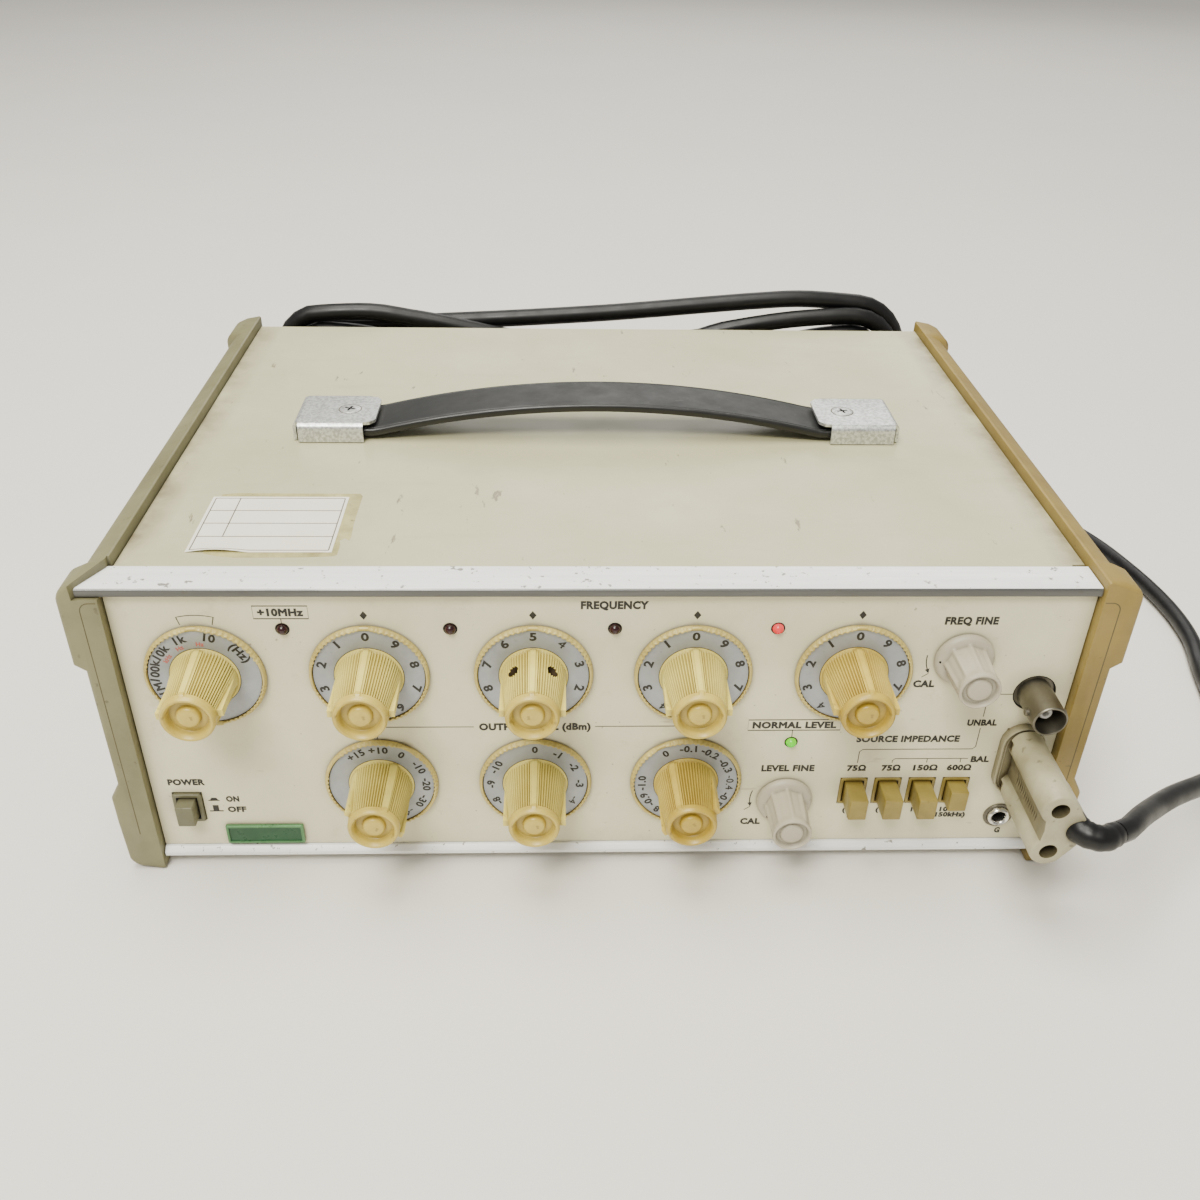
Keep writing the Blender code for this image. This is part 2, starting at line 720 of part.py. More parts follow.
def lamp(name, x, height, finish=None):
    profile = [(0.0, 1.5), (0.8, 1.3), (1.5, 0.4), (1.5, -5.4), (0.0, -5.4)]
    return turned(name, profile, x, height, finish, 12)


def led_board():
    """A narrow board behind the panel's top edge, with a tongue down to the level lamp."""
    board = block("led_board", (-95.0, 60.0), (5.0, 6.6), (80.0, 92.0), "laminate")
    join(board, block("led_tongue", (50.0, 58.0), (5.0, 6.6), (41.0, 81.0)))
    for number, x in enumerate(LAMP_X):
        join(board, lamp(f"lamp_{number}", x, LAMP_HEIGHT))
    join(board, lamp("level_lamp", *LEVEL_LAMP))
    return board


def bnc_jack():
    profile = [
        (0.0, 8.6), (1.0, 8.6), (2.2, 8.4), (2.2, 3.0), (4.1, 3.0), (4.1, 13.0), (4.8, 13.0),
        (4.8, -0.6), (5.7, -0.6), (5.7, -9.0), (2.0, -9.0), (2.0, -14.0), (0.0, -14.0),
    ]
    jack = turned("bnc_jack", list(profile), *BNC, "nickel", 24)
    lug = rod("bnc_lugs", 0.0, 0.0, 1.0, (-5.7, 5.7), sides=10)
    lug.rotation_euler = Euler((0.0, math.pi / 2, 0.0))
    lug.location = place(BNC[0], -8.6, BNC[1])
    inner = rod("bnc_clear", *BNC, 4.3, (-13.5, -2.0), sides=24)
    cut(lug, inner)
    join(jack, lug)
    return jack


def stadium(x, height, radius, half):
    top = arc(x, height + half, radius, 0.0, 180.0, 8)
    return top + arc(x, height - half, radius, 180.0, 360.0, 8)


def balanced_socket():
    """The two-pin socket: a flange on the panel, a body behind it, two bores."""
    socket = flat(
        "balanced_socket", [stadium(*BALANCED, 6.0, 6.2)], "xz", (-2.4, -0.3), "grey_plastic",
    )
    x, height = BALANCED
    join(socket, block("socket_body", (x - 4.6, x + 4.6), (-1.0, 16.0), (height - 10.3, height + 10.3)))
    for side in (-1, 1):
        bore = rod(f"socket_bore_{side}", x, height + side * PIN_SPACING / 2, 2.3, (-5.0, 14.0), sides=16)
        cut(socket, bore)
    return socket


def ground_jack():
    profile = [
        (2.0, 1.4), (3.0, 1.6), (3.4, 1.1), (3.4, -12.0), (0.0, -12.0), (0.0, -10.0), (2.0, -10.0),
    ]
    return turned("ground_jack", profile, *GROUND, "nickel", 20, closed=True)


# ---------------------------------------------------------------- inside


def main_board():
    low = MAIN_BOARD_HEIGHT
    board = block("main_board", (-122.0, 66.0), (44.0, 184.0), (low, low + 1.6), "board")
    top = low + 1.0
    pieces = [
        block("shield_box", (-112.0, -42.0), (62.0, 122.0), (top, low + 26.0)),
        block("regulator_sink", (20.0, 60.0), (160.0, 172.0), (top, low + 34.0)),
        block("connector_row", (-100.0, 40.0), (46.0, 51.0), (top, low + 10.0)),
        block("fuse_clip", (42.0, 62.0), (132.0, 138.0), (top, low + 9.0)),
    ]
    for row in range(3):
        for column in range(4):
            x = -28.0 + column * 14.0
            depth = 64.0 + row * 24.0
            chip = (x, x + 7.0), (depth, depth + 18.0), (top, low + 5.0)
            pieces.append(block(f"chip_{row}_{column}", *chip))
    for number, x in enumerate((-104.0, -80.0, -56.0)):
        pieces.append(upright_rod(f"capacitor_{number}", x, 150.0, 8.0, (top, low + 32.0)))
    for x in (-116.0, 60.0):
        for depth in (56.0, 178.0):
            pieces.append(upright_rod(f"standoff_{x:.0f}_{depth:.0f}", x, depth, 3.0, (5.5, low + 0.8)))
    join(board, *pieces)
    return board


def power_transformer():
    (x0, x1), (d0, d1) = TRANSFORMER_X, TRANSFORMER_DEPTH
    core = block("power_transformer", (x0, x1), (d0 + 10.0, d1 - 10.0), (9.0, 57.0), "steel")
    join(
        core,
        block("transformer_coil", (x0 + 7.0, x1 - 7.0), (d0, d1), (15.0, 51.0)),
        block("transformer_foot", (x0 - 7.0, x1 + 7.0), (d0 + 16.0, d1 - 16.0), (5.5, 9.5)),
    )
    return core


# ---------------------------------------------------------------- rear and leads


def post_profile():
    """A cord post, from its end flange to its root inside the bracket's foot."""
    reach = WRAP_REACH - REAR_FACE
    return [
        (0.0, reach), (10.0, reach), (11.0, reach - 0.8), (11.0, reach - 2.0), (POST_RADIUS, reach - 2.8),
        (POST_RADIUS, 1.0), (0.0, 1.0),
    ]


def cord_bracket(name, side):
    """Two posts on one foot, on the rear panel; the mains lead is wound round both brackets."""
    centre = side * POST_X
    foot = (REAR_FACE + GAP, REAR_FACE + 3.0)
    heights = (POST_HEIGHTS[0] - 9.0, POST_HEIGHTS[1] + 9.0)
    bracket = block(name, (centre - 9.0, centre + 9.0), foot, heights, "black_plastic")
    for height in POST_HEIGHTS:
        post = turned(f"{name}_post_{height:.0f}", post_profile(), centre, height, None, 20, depth=REAR_FACE)
        post.rotation_euler = Euler((-math.pi / 2, 0.0, 0.0))
        join(bracket, post)
    return bracket


def strain_relief():
    profile = [
        (3.7, RELIEF_LENGTH), (4.5, RELIEF_LENGTH), (6.0, 5.0), (8.5, 4.5), (8.5, 0.3), (5.7, 0.3),
        (5.7, -4.0), (3.7, -4.0),
    ]
    bush = turned("strain_relief", profile, *RELIEF, "rubber", 20, closed=True, depth=REAR_FACE)
    bush.rotation_euler = Euler((-math.pi / 2, 0.0, 0.0))
    return bush


def mains_winding():
    """Outer shape of the lead's turns around the posts."""
    outer = rounded_rectangle((-130.0, 136.0), (4.6, 110.4), 30.0, 6)
    clear = POST_RADIUS + 0.5
    low, high = POST_HEIGHTS
    inner = rounded_rectangle((-POST_X - clear, POST_X + clear), (low - clear, high + clear), clear, 6)
    return flat("mains_winding", [outer, inner], "xz", WINDING_DEPTH, "rubber")


def mains_plug():
    """A flat two-pin plug lying on the surface."""
    x, start = MAINS_PLUG
    plug = block("mains_plug", (x - 12.0, x + 12.0), (start + 12.0, start + 38.0), (0.2, 14.6), "rubber", 2.0)
    tail = block("plug_tail", (x - 5.0, x + 5.0), (start, start + 14.0), (0.2, 8.4))
    join(plug, tail)
    for side in (-1, 1):
        pin = (x + side * 6.35 - 0.8, x + side * 6.35 + 0.8), (start + 36.0, start + 55.0), (4.2, 10.6)
        join(plug, block(f"plug_pin_{side}", *pin))
    return plug


def two_pin_plug(name, boot_route, finish):
    """Two barrels side by side with a lobe for the lead; its pins point into the socket."""
    x, height = BALANCED
    half = PIN_SPACING / 2
    outline = [
        *arc(x, height + half, BARREL_RADIUS, 70.0, 180.0, 6),
        *arc(x, height - half, BARREL_RADIUS, 180.0, 300.0, 6),
        *arc(x + 5.6, height + LOBE[1], 4.9, -40.0, 50.0, 5),
    ]
    body = flat(name, [outline], "xz", (PLUG_FRONT, -14.0), finish)
    barrels = flat(name + "_barrels", [stadium(x, height, 4.9, half)], "xz", (-15.0, PLUG_BACK))
    join(body, barrels)
    for side in (-1, 1):
        z = height + side * half
        join(body, rod(f"{name}_pin_{side}", x, z, PIN_RADIUS, (-6.0, 11.0), sides=12))
        cut(body, rod(f"{name}_well_{side}", x, z, 2.5, (PLUG_FRONT - 4.0, -22.0), sides=16))
    boot = tube(name + "_boot", boot_route, BOOT_RADIUS, "", 0.8)
    join(body, boot)
    return body


def test_connector():
    """The matching plug on the lead's far end, lying with its lobe up beside the coil."""
    x, height = BALANCED
    lobe = (x + LOBE[0], height + LOBE[1])
    straight = [(lobe[0], PLUG_FRONT + 5.0, lobe[1]), (lobe[0], PLUG_FRONT - 8.0, lobe[1])]
    plug = two_pin_plug("test_connector", straight, "grey_plastic")
    bake(plug)
    lay_down = Matrix(((0.0, -1.0, 0.0), (0.0, 0.0, -1.0), (1.0, 0.0, 0.0))).to_4x4()
    from_face = Matrix.Translation(-place(x, PLUG_FRONT, height))
    plug.matrix_world = (
        Matrix.Translation(place(*CONNECTOR_FACE)) @ lay_down @ from_face @ plug.matrix_world
    )
    return plug


def test_lead_coil():
    """Outer shape of the coiled rest of the test lead."""
    outer, inner = TEST_COIL_OUTER, TEST_COIL_INNER
    profile = [
        (outer - 3.0, TEST_COIL_HEIGHT), (outer, TEST_COIL_HEIGHT - 3.0), (outer, 3.2), (outer - 3.0, 0.2),
        (inner + 3.0, 0.2), (inner, 3.2), (inner, TEST_COIL_HEIGHT - 3.0), (inner + 3.0, TEST_COIL_HEIGHT),
    ]
    coil = turned("test_lead_coil", profile, TEST_COIL[0], 0.0, "rubber", 28, closed=True, depth=TEST_COIL[1])
    coil.rotation_euler = Euler((0.0, 0.0, 0.0))
    return coil


# ---------------------------------------------------------------- assembly


def build_cabinet():
    cut_bar_notch(side_frame("side_frame_left", -1, "case_left"))
    side_frame("side_frame_right", 1, "case_right")
    top_trim()
    bottom_trim()
    top_cover()
    bottom_cover()
    front_panel()
    rear_panel()
    badge()
    handle_strap()
    handle_bracket("handle_bracket_left", -1)
    handle_bracket("handle_bracket_right", 1)


def build_dials():
    dials = [("range", RANGE_X, FREQUENCY_ROW)]
    dials += [(f"freq_{i + 1}", x, FREQUENCY_ROW) for i, x in enumerate(FREQUENCY_X)]
    dials += [(f"level_{i + 1}", x, LEVEL_ROW) for i, x in enumerate(LEVEL_X)]
    for name, x, height in dials:
        big_knob(f"knob_{name}", x, height)
        shaft(f"shaft_{name}", x, height, SHAFT_RADIUS, (GAP - KNOB_GRIP, SHAFT_BACK))
    switch_board("frequency_switch_board", (RANGE_X, *FREQUENCY_X), FREQUENCY_ROW, (-123.0, 83.0), "laminate")
    switch_board("level_switch_board", LEVEL_X, LEVEL_ROW, (-80.0, 40.0), "laminate")
    for name, (x, height) in (("freq_fine", FREQ_FINE), ("level_fine", LEVEL_FINE)):
        small_knob(f"knob_{name}", x, height)
        shaft(f"shaft_{name}", x, height, FINE_SHAFT_RADIUS, FINE_SHAFT_DEPTH)
        fine_pot(f"{name}_pot", x, height)


def build_buttons():
    for number, x in enumerate(BUTTON_X):
        pressed = number == len(BUTTON_X) - 1
        front = BUTTON_OUT - BUTTON_TRAVEL if pressed else BUTTON_OUT
        push_button(f"impedance_button_{number + 1}", x, BUTTON_HEIGHT, front, BUTTON_CAP, "button")
    push_button("power_button", POWER_X, POWER_HEIGHT, POWER_IN, POWER_CAP, "power_button")
    impedance_switch_bank()
    power_switch()


def build_electrics():
    led_board()
    bnc_jack()
    balanced_socket()
    ground_jack()
    main_board()
    power_transformer()


def build_leads():
    cord_bracket("cord_bracket_left", -1)
    cord_bracket("cord_bracket_right", 1)
    strain_relief()
    mains_winding()
    tube("mains_lead_exit", MAINS_EXIT_ROUTE, MAINS_RADIUS, "rubber")
    tube("mains_lead_tail", MAINS_TAIL_ROUTE, MAINS_RADIUS, "rubber")
    mains_plug()
    two_pin_plug("test_plug", TEST_BOOT_ROUTE, "grey_plastic")
    tube("test_lead", TEST_LEAD_ROUTE, TEST_RADIUS, "rubber")
    test_lead_coil()
    test_connector()


build_cabinet()
build_dials()
build_buttons()
build_electrics()
build_leads()
bake(*PARTS.objects)
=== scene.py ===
"""Looks of a bench level generator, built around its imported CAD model.

Sizes in the functions are millimetres: a point is (x, depth, height), where depth runs
backwards from the front panel's face and height up from the standing surface.
"""

import math

import bmesh
import bpy
from mathutils import Matrix, Vector


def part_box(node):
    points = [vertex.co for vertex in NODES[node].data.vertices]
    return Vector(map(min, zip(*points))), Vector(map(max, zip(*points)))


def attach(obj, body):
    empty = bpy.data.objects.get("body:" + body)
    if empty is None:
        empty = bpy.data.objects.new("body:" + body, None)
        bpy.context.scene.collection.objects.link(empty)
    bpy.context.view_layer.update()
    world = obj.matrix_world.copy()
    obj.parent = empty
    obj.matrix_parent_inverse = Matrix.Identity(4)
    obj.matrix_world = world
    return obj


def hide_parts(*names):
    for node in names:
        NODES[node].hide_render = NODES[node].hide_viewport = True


MM = 0.001

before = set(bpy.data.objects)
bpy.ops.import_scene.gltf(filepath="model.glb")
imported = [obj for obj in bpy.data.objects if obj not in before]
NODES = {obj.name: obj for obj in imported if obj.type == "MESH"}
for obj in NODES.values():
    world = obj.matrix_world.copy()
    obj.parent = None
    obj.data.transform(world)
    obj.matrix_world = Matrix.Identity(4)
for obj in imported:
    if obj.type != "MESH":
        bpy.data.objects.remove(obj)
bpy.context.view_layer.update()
PANEL_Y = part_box("front_panel")[0].y / MM
SIDES = ((-1, "left"), (1, "right"))


def at(x, depth, height):
    """A point of the cabinet in metres."""
    return Vector((x, PANEL_Y + depth, height)) * MM


def node_box(node):
    """((x, x), (depth, depth), (height, height)) of a CAD node in millimetres."""
    low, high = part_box(node)
    return tuple(
        (start / MM - offset, end / MM - offset)
        for start, end, offset in zip(low, high, (0.0, PANEL_Y, 0.0))
    )


def middle(node):
    """(x, height) of a CAD node's middle in millimetres."""
    x, depth, height = node_box(node)
    return sum(x) / 2, sum(height) / 2


def polar(radius, degrees):
    """(x, y) of a point at an angle counterclockwise from the x axis."""
    return radius * math.cos(math.radians(degrees)), radius * math.sin(math.radians(degrees))


# ---- sizes

FRAME_FRONT, FRAME_BACK = node_box("side_frame_right")[1]
COVER_TOP = node_box("top_cover")[2][1]
INNER_HALF = 131.1
RAIL_HALF = 139.1
FLARE_HALF = 142.0
RECESS_HALF = 134.4
RAIL_TOP = 101.5
SHOULDER = 5.6

DIALS = ("range", "freq_1", "freq_2", "freq_3", "freq_4", "level_1", "level_2", "level_3")
KNOB_SPIN = {"range": -4.0, "freq_2": 180.0, "level_1": 30.0, "level_3": -30.0}
DIGIT_STEP = 36.0
RANGE_MARKS = {"10": 13.6, "1k": -21.0, "10k": -51.0, "100k": -80.0, "1M": -107.0, "(Hz)": 52.6}
RED_MARKS = (("kHz", -55.0), ("Hz", -28.0), ("Hz", 2.0))
LEVEL_STEP = 30.0
LEVEL_MARKS = {
    "level_1": (-30.0, ["+15", "+10", "0", "-10", "-20", "-30", "-40", "-50", "-60"]),
    "level_2": (0.0, ["0", *[f"-{n}" for n in range(1, 11)]]),
    "level_3": (-30.0, ["0", *[f"-{n / 10}" for n in range(1, 11)]]),
}

# Mains lead, as in the CAD model
MAINS_RADIUS = 3.5
POST_X = 108.0
POST_LOW = 32.9
POST_HIGH = 82.9
MAINS_EXIT_ROUTE = [
    (-62.0, 219.5, 42.0), (-62.0, 225.0, 42.0), (-61.2, 231.5, 41.6), (-57.5, 238.5, 40.6),
    (-50.5, 244.0, 38.8), (-41.0, 246.5, 36.2), (-31.0, 245.5, 33.0), (-21.5, 241.5, 29.6),
    (-13.0, 235.6, 26.4), (-5.0, 229.2, 23.9), (3.5, 223.4, 22.3), (12.5, 219.4, 21.6),
    (22.0, 217.7, 21.5), (30.0, 217.4, 21.5),
]
FIRST_RUN = [(48.0, 215.6, 21.8), (66.0, 209.6, 22.2), (86.0, 204.6, 22.4)]
MAINS_TAIL_ROUTE = [
    (-77.0, 217.5, 11.9), (-69.0, 218.6, 11.1), (-61.0, 221.8, 9.4), (-53.5, 227.3, 7.2),
    (-47.5, 234.6, 5.1), (-43.2, 243.5, 4.0), (-41.0, 253.0, 3.7), (-40.2, 263.0, 3.6), (-40.0, 271.0, 3.6),
]
# The upper runs of the three turns, from the right-hand post to the left-hand one
UPPER_RUNS = (
    [(92.0, 203.9, 91.6), (60.0, 203.9, 84.6), (25.0, 203.9, 80.4), (-15.0, 203.9, 79.6),
     (-55.0, 203.9, 82.6), (-90.0, 203.9, 91.2)],
    [(97.2, 203.9, 100.1), (77.7, 203.9, 98.2), (53.9, 203.9, 94.0), (42.4, 203.9, 90.6),
     (10.0, 204.0, 88.3), (-25.0, 204.0, 89.2), (-61.0, 203.9, 96.3), (-73.3, 203.9, 98.4),
     (-89.5, 203.9, 100.7)],
    [(87.4, 209.9, 105.5), (70.0, 209.9, 104.6), (51.3, 209.9, 103.0), (28.0, 209.9, 100.8),
     (3.8, 209.9, 98.7), (-29.3, 210.2, 96.4), (-61.3, 210.4, 94.6), (-90.0, 210.2, 93.2)],
)
# For each turn: radius and depth at the right lower, right upper, left upper and left lower post
TURN_CORNERS = (
    ((10.5, 203.9), (10.5, 203.9), (10.5, 203.9), (10.5, 203.9)),
    ((17.5, 203.9), (17.5, 203.9), (17.5, 203.9), (17.5, 204.5)),
    ((24.5, 206.5), (21.3, 209.9), (10.6, 210.3), (20.9, 211.5)),
)
RUN_SAG = 1.5
ROUTE_STEPS = 16

# Test lead, as in the CAD model
TEST_RADIUS = 3.2
LEAD_REST = 3.4
TEST_LEAD_ROUTE = [
    (138.84, -30.37, 38.44), (142.8, -28.2, 37.8), (149.2, -21.8, 35.4), (157.4, -14.0, 31.7),
    (169.0, -4.6, 27.9), (183.5, 5.5, 22.9), (195.5, 15.6, 17.0), (206.4, 27.4, 10.6),
    (215.0, 40.6, 5.6), (220.8, 55.0, 3.7),
]
LEAD_ON_FLOOR = [
    (225.6, 72.6), (230.2, 92.0), (235.0, 110.0), (236.4, 128.0), (235.0, 146.0), (231.6, 164.0),
    (226.0, 184.0), (216.0, 205.0), (200.6, 223.6), (180.6, 236.6), (158.0, 242.6), (142.0, 243.6),
    (128.6, 243.6), (116.0, 243.5),
]
TEST_COIL = (103.5, 285.6)
COIL_RINGS = ((42.2, 3.4), (35.8, 3.4), (35.8, 9.8), (42.2, 9.8), (42.2, 9.8))
COIL_STEPS = 16
COIL_PASSING = 0.25
CONNECTOR_BOOT = [(92.0, 242.0, 11.4), (85.0, 240.2, 12.2), (79.9, 239.6, 12.4)]
TIE_HALF = 4.5
TIE_THICK = 0.7
TIE_SLACK = 0.5
TIE_ROOM = 0.15


# ---- camera

LENS = 34.71
SENSOR = 36.0
CAMERA_PLACE = (-12.39, -254.73, 260.42)
CAMERA_YAW = math.radians(2.34)
CAMERA_PITCH = math.radians(33.10)
CAMERA_ROLL = math.radians(1.25)


def make_camera():
    right = Vector((math.cos(CAMERA_YAW), -math.sin(CAMERA_YAW), 0.0))
    level = Vector((math.sin(CAMERA_YAW), math.cos(CAMERA_YAW), 0.0))
    ahead = level * math.cos(CAMERA_PITCH) - Vector((0.0, 0.0, math.sin(CAMERA_PITCH)))
    up = right.cross(ahead)
    tilted_right = right * math.cos(CAMERA_ROLL) + up * math.sin(CAMERA_ROLL)
    tilted_up = up * math.cos(CAMERA_ROLL) - right * math.sin(CAMERA_ROLL)
    data = bpy.data.cameras.new("camera")
    data.sensor_width = SENSOR
    data.lens = LENS
    data.clip_start = 0.01
    camera = add_object("camera", data)
    turn = Matrix((tilted_right, tilted_up, -ahead)).transposed().to_4x4()
    camera.matrix_world = Matrix.Translation(at(*CAMERA_PLACE)) @ turn
    bpy.context.scene.camera = camera


def add_object(name, data):
    obj = bpy.data.objects.new(name, data)
    bpy.context.scene.collection.objects.link(obj)
    return obj


make_camera()


# ---- materials


class Nodes:
    """Short calls for a material's node tree."""

    def __init__(self, name):
        self.material = bpy.data.materials.new(name)
        self.material.use_nodes = True
        self.tree = self.material.node_tree
        self.shader = self.tree.nodes["Principled BSDF"]
        self.place = self.tree.nodes.new("ShaderNodeTexCoord").outputs["Object"]

    def link(self, source, target):
        self.tree.links.new(source, target)

    def node(self, kind, **values):
        """A new node with values on its inputs, an underscore standing for a space."""
        node = self.tree.nodes.new(kind)
        for name, value in values.items():
            node.inputs[name.replace("_", " ")].default_value = value
        return node

    def noise(self, scale, detail=4.0, roughness=0.6, stretch=None):
        node = self.node("ShaderNodeTexNoise", Scale=scale, Detail=detail, Roughness=roughness)
        source = self.place
        if stretch:
            mapping = self.node("ShaderNodeMapping", Scale=stretch)
            self.link(source, mapping.inputs["Vector"])
            source = mapping.outputs["Vector"]
        self.link(source, node.inputs["Vector"])
        return node.outputs["Fac"]

    def span(self, value, low, high, to_low=0.0, to_high=1.0):
        """Maps a value's range to another one, with its ends held."""
        node = self.node("ShaderNodeMapRange", From_Min=low, From_Max=high, To_Min=to_low, To_Max=to_high)
        self.link(value, node.inputs["Value"])
        return node.outputs["Result"]

    def math(self, operation, a, b=None):
        node = self.tree.nodes.new("ShaderNodeMath")
        node.operation = operation
        for socket, value in zip(node.inputs, (a, b)):
            if isinstance(value, float):
                socket.default_value = value
            elif value is not None:
                self.link(value, socket)
        return node.outputs["Value"]

    def axis(self, letter):
        node = self.tree.nodes.new("ShaderNodeSeparateXYZ")
        self.link(self.place, node.inputs["Vector"])
        return node.outputs[letter]

    def mix(self, share, first, second):
        """Two colours, each a tuple or a socket, mixed by a socket's value."""
        node = self.tree.nodes.new("ShaderNodeMix")
        node.data_type = "RGBA"
        for socket, value in ((node.inputs[6], first), (node.inputs[7], second)):
            if isinstance(value, tuple):
                socket.default_value = (*value, 1.0)
            else:
                self.link(value, socket)
        self.link(share, node.inputs[0])
        return node.outputs[2]

    def crevices(self, distance):
        """How open the surface is: 1 on open faces, less in corners."""
        node = self.node("ShaderNodeAmbientOcclusion", Distance=distance * MM)
        node.samples = 8
        return node.outputs["AO"]

    def finish(self, colour, gloss, low, high, grain, bump, depth):
        """Links the colour, the gloss mapped to a roughness from low to high, and the grain's bump."""
        self.link(colour, self.shader.inputs["Base Color"])
        self.link(self.span(gloss, 0.3, 0.7, low, high), self.shader.inputs["Roughness"])
        node = self.node("ShaderNodeBump", Strength=bump, Distance=depth * MM)
        self.link(grain, node.inputs["Height"])
        self.link(node.outputs["Normal"], self.shader.inputs["Normal"])
        return self.material


def srgb(red, green, blue):
    """A display colour of 0 to 255 as a linear one."""
    return tuple(
        c / 12.92 if c <= 0.04045 else ((c + 0.055) / 1.055) ** 2.4
        for c in (red / 255, green / 255, blue / 255)
    )


def worn(name, colour, stain, roughness, patches=30.0, staining=0.35, specks=0.0, grain=900.0,
         bump=0.15, dirt_and_shade=0.0, dirt_and_shade_colour=(0.05, 0.04, 0.02), reach=2.0, metallic=0.0):
    """Paint or plastic: patchy colour, a few dark specks, darkening in corners that is partly dirt and partly
    painted shade, and a fine grain.
    """
    n = Nodes(name)
    patchy = n.span(n.noise(patches, 6.0, 0.65), 0.38, 0.72, 0.0, staining)
    base = n.mix(patchy, colour, stain)
    if specks:
        base = n.mix(n.span(n.noise(450.0, 2.0, 0.4), 0.70, 0.76, 0.0, specks), base, dirt_and_shade_colour)
    # Darker where nearby parts close the surface in: partly dirt, partly painted shade.
    if dirt_and_shade:
        base = n.mix(n.span(n.crevices(reach), 0.35, 0.95, dirt_and_shade, 0.0), base, dirt_and_shade_colour)
    n.shader.inputs["Metallic"].default_value = metallic
    gloss = n.noise(patches * 3.0)
    return n.finish(base, gloss, roughness - 0.07, roughness + 0.09, n.noise(grain, 3.0), bump, 0.05)


def panel_paint():
    """Warm ivory paint, darker next to the parts that stand out of it (dirt and painted shade), with small
    dark flecks.
    """
    n = Nodes("panel_paint")
    patches = n.span(n.noise(22.0, 7.0, 0.7), 0.35, 0.7, 0.0, 0.75)
    base = n.mix(patches, srgb(222, 217, 185), srgb(206, 200, 166))
    flecks = n.span(n.noise(520.0, 2.0, 0.5), 0.735, 0.76, 0.0, 0.6)
    base = n.mix(flecks, base, srgb(120, 108, 88))
    smudges = n.span(n.noise(70.0, 6.0, 0.75), 0.58, 0.75, 0.0, 0.4)
    base = n.mix(smudges, base, srgb(176, 166, 140))
    # Darker where nearby parts close the surface in, round the knobs and under the top bar: dirt, and painted
    # shade.
    closed = n.span(n.crevices(6.0), 0.35, 1.0, 0.5, 0.0)
    base = n.mix(closed, base, srgb(120, 108, 80))
    scratches = n.span(n.noise(260.0, 3.0, 0.6, stretch=(0.25, 1.0, 1.0)), 0.70, 0.76, 0.0, 0.45)
    base = n.mix(scratches, base, srgb(150, 138, 104))
    return n.finish(base, n.noise(90.0), 0.38, 0.55, n.noise(1500.0, 2.0), 0.08, 0.04)


def cover_paint():
    """The top cover's semi-gloss paint: faint streaks, rubbed edges, dirt along the side rails."""
    n = Nodes("cover_paint")
    base = n.mix(n.span(n.noise(9.0, 8.0, 0.7), 0.3, 0.7), srgb(194, 190, 155), srgb(174, 169, 132))
    streaks = n.span(n.noise(24.0, 6.0, 0.7, stretch=(1.0, 5.0, 1.0)), 0.56, 0.8, 0.0, 0.35)
    base = n.mix(streaks, base, srgb(160, 153, 116))
    marks = n.span(n.noise(230.0, 4.0, 0.65, stretch=(1.0, 0.3, 1.0)), 0.67, 0.72, 0.0, 0.75)
    base = n.mix(marks, base, srgb(104, 95, 74))
    off_edge = n.math("SUBTRACT", (INNER_HALF - 0.3) * MM, n.math("ABSOLUTE", n.axis("X")))
    dirty = n.math("MULTIPLY", n.span(off_edge, 0.0, 0.009, 1.0, 0.0), n.span(n.noise(60.0, 5.0), 0.3, 0.65))
    base = n.mix(dirty, base, srgb(118, 106, 80))
    return n.finish(base, n.noise(35.0, 6.0), 0.30, 0.44, n.noise(700.0, 3.0), 0.05, 0.04)


def metal(name, colour, roughness, brushed=None, mottled=0.0, metallic=1.0, specks=0.0):
    """Bare or plated metal: brushed in one direction, or with the patches of zinc coating."""
    n = Nodes(name)
    lines = n.noise(160.0 if brushed else 220.0, 5.0, 0.7, stretch=brushed)
    base = n.mix(n.span(lines, 0.3, 0.75, 0.0, 0.5), colour, tuple(c * 0.62 for c in colour))
    if mottled:
        flakes = n.span(n.noise(1000.0, 3.0, 0.6), 0.42, 0.6, 0.0, mottled)
        base = n.mix(flakes, base, tuple(c * 0.58 for c in colour))
    scuffs = n.span(n.noise(60.0, 7.0, 0.75), 0.62, 0.74, 0.0, 0.5)
    base = n.mix(scuffs, base, tuple(c * 0.45 for c in colour))
    if specks:
        base = n.mix(n.span(n.noise(380.0, 3.0, 0.6), 0.64, 0.69, 0.0, specks), base, srgb(96, 88, 72))
    n.shader.inputs["Metallic"].default_value = metallic
    return n.finish(base, lines, roughness - 0.06, roughness + 0.12, lines, 0.05, 0.05)


def rubber(name, colour, roughness):
    """Cord jackets and mouldings: nearly black, dusty on its high patches."""
    n = Nodes(name)
    base = n.mix(n.span(n.noise(55.0, 6.0, 0.7), 0.5, 0.8, 0.0, 0.25), colour, srgb(52, 50, 47))
    n.shader.inputs["Specular IOR Level"].default_value = 0.35
    return n.finish(base, n.noise(120.0), roughness - 0.08, roughness + 0.1, n.noise(1200.0, 3.0), 0.12, 0.05)


def ink(name, colour):
    """Printed lettering, a little uneven."""
    n = Nodes(name)
    base = n.mix(n.span(n.noise(500.0, 4.0), 0.5, 0.8, 0.0, 0.25), colour, srgb(90, 86, 72))
    return n.finish(base, n.noise(200.0), 0.45, 0.6, n.noise(1500.0), 0.05, 0.02)


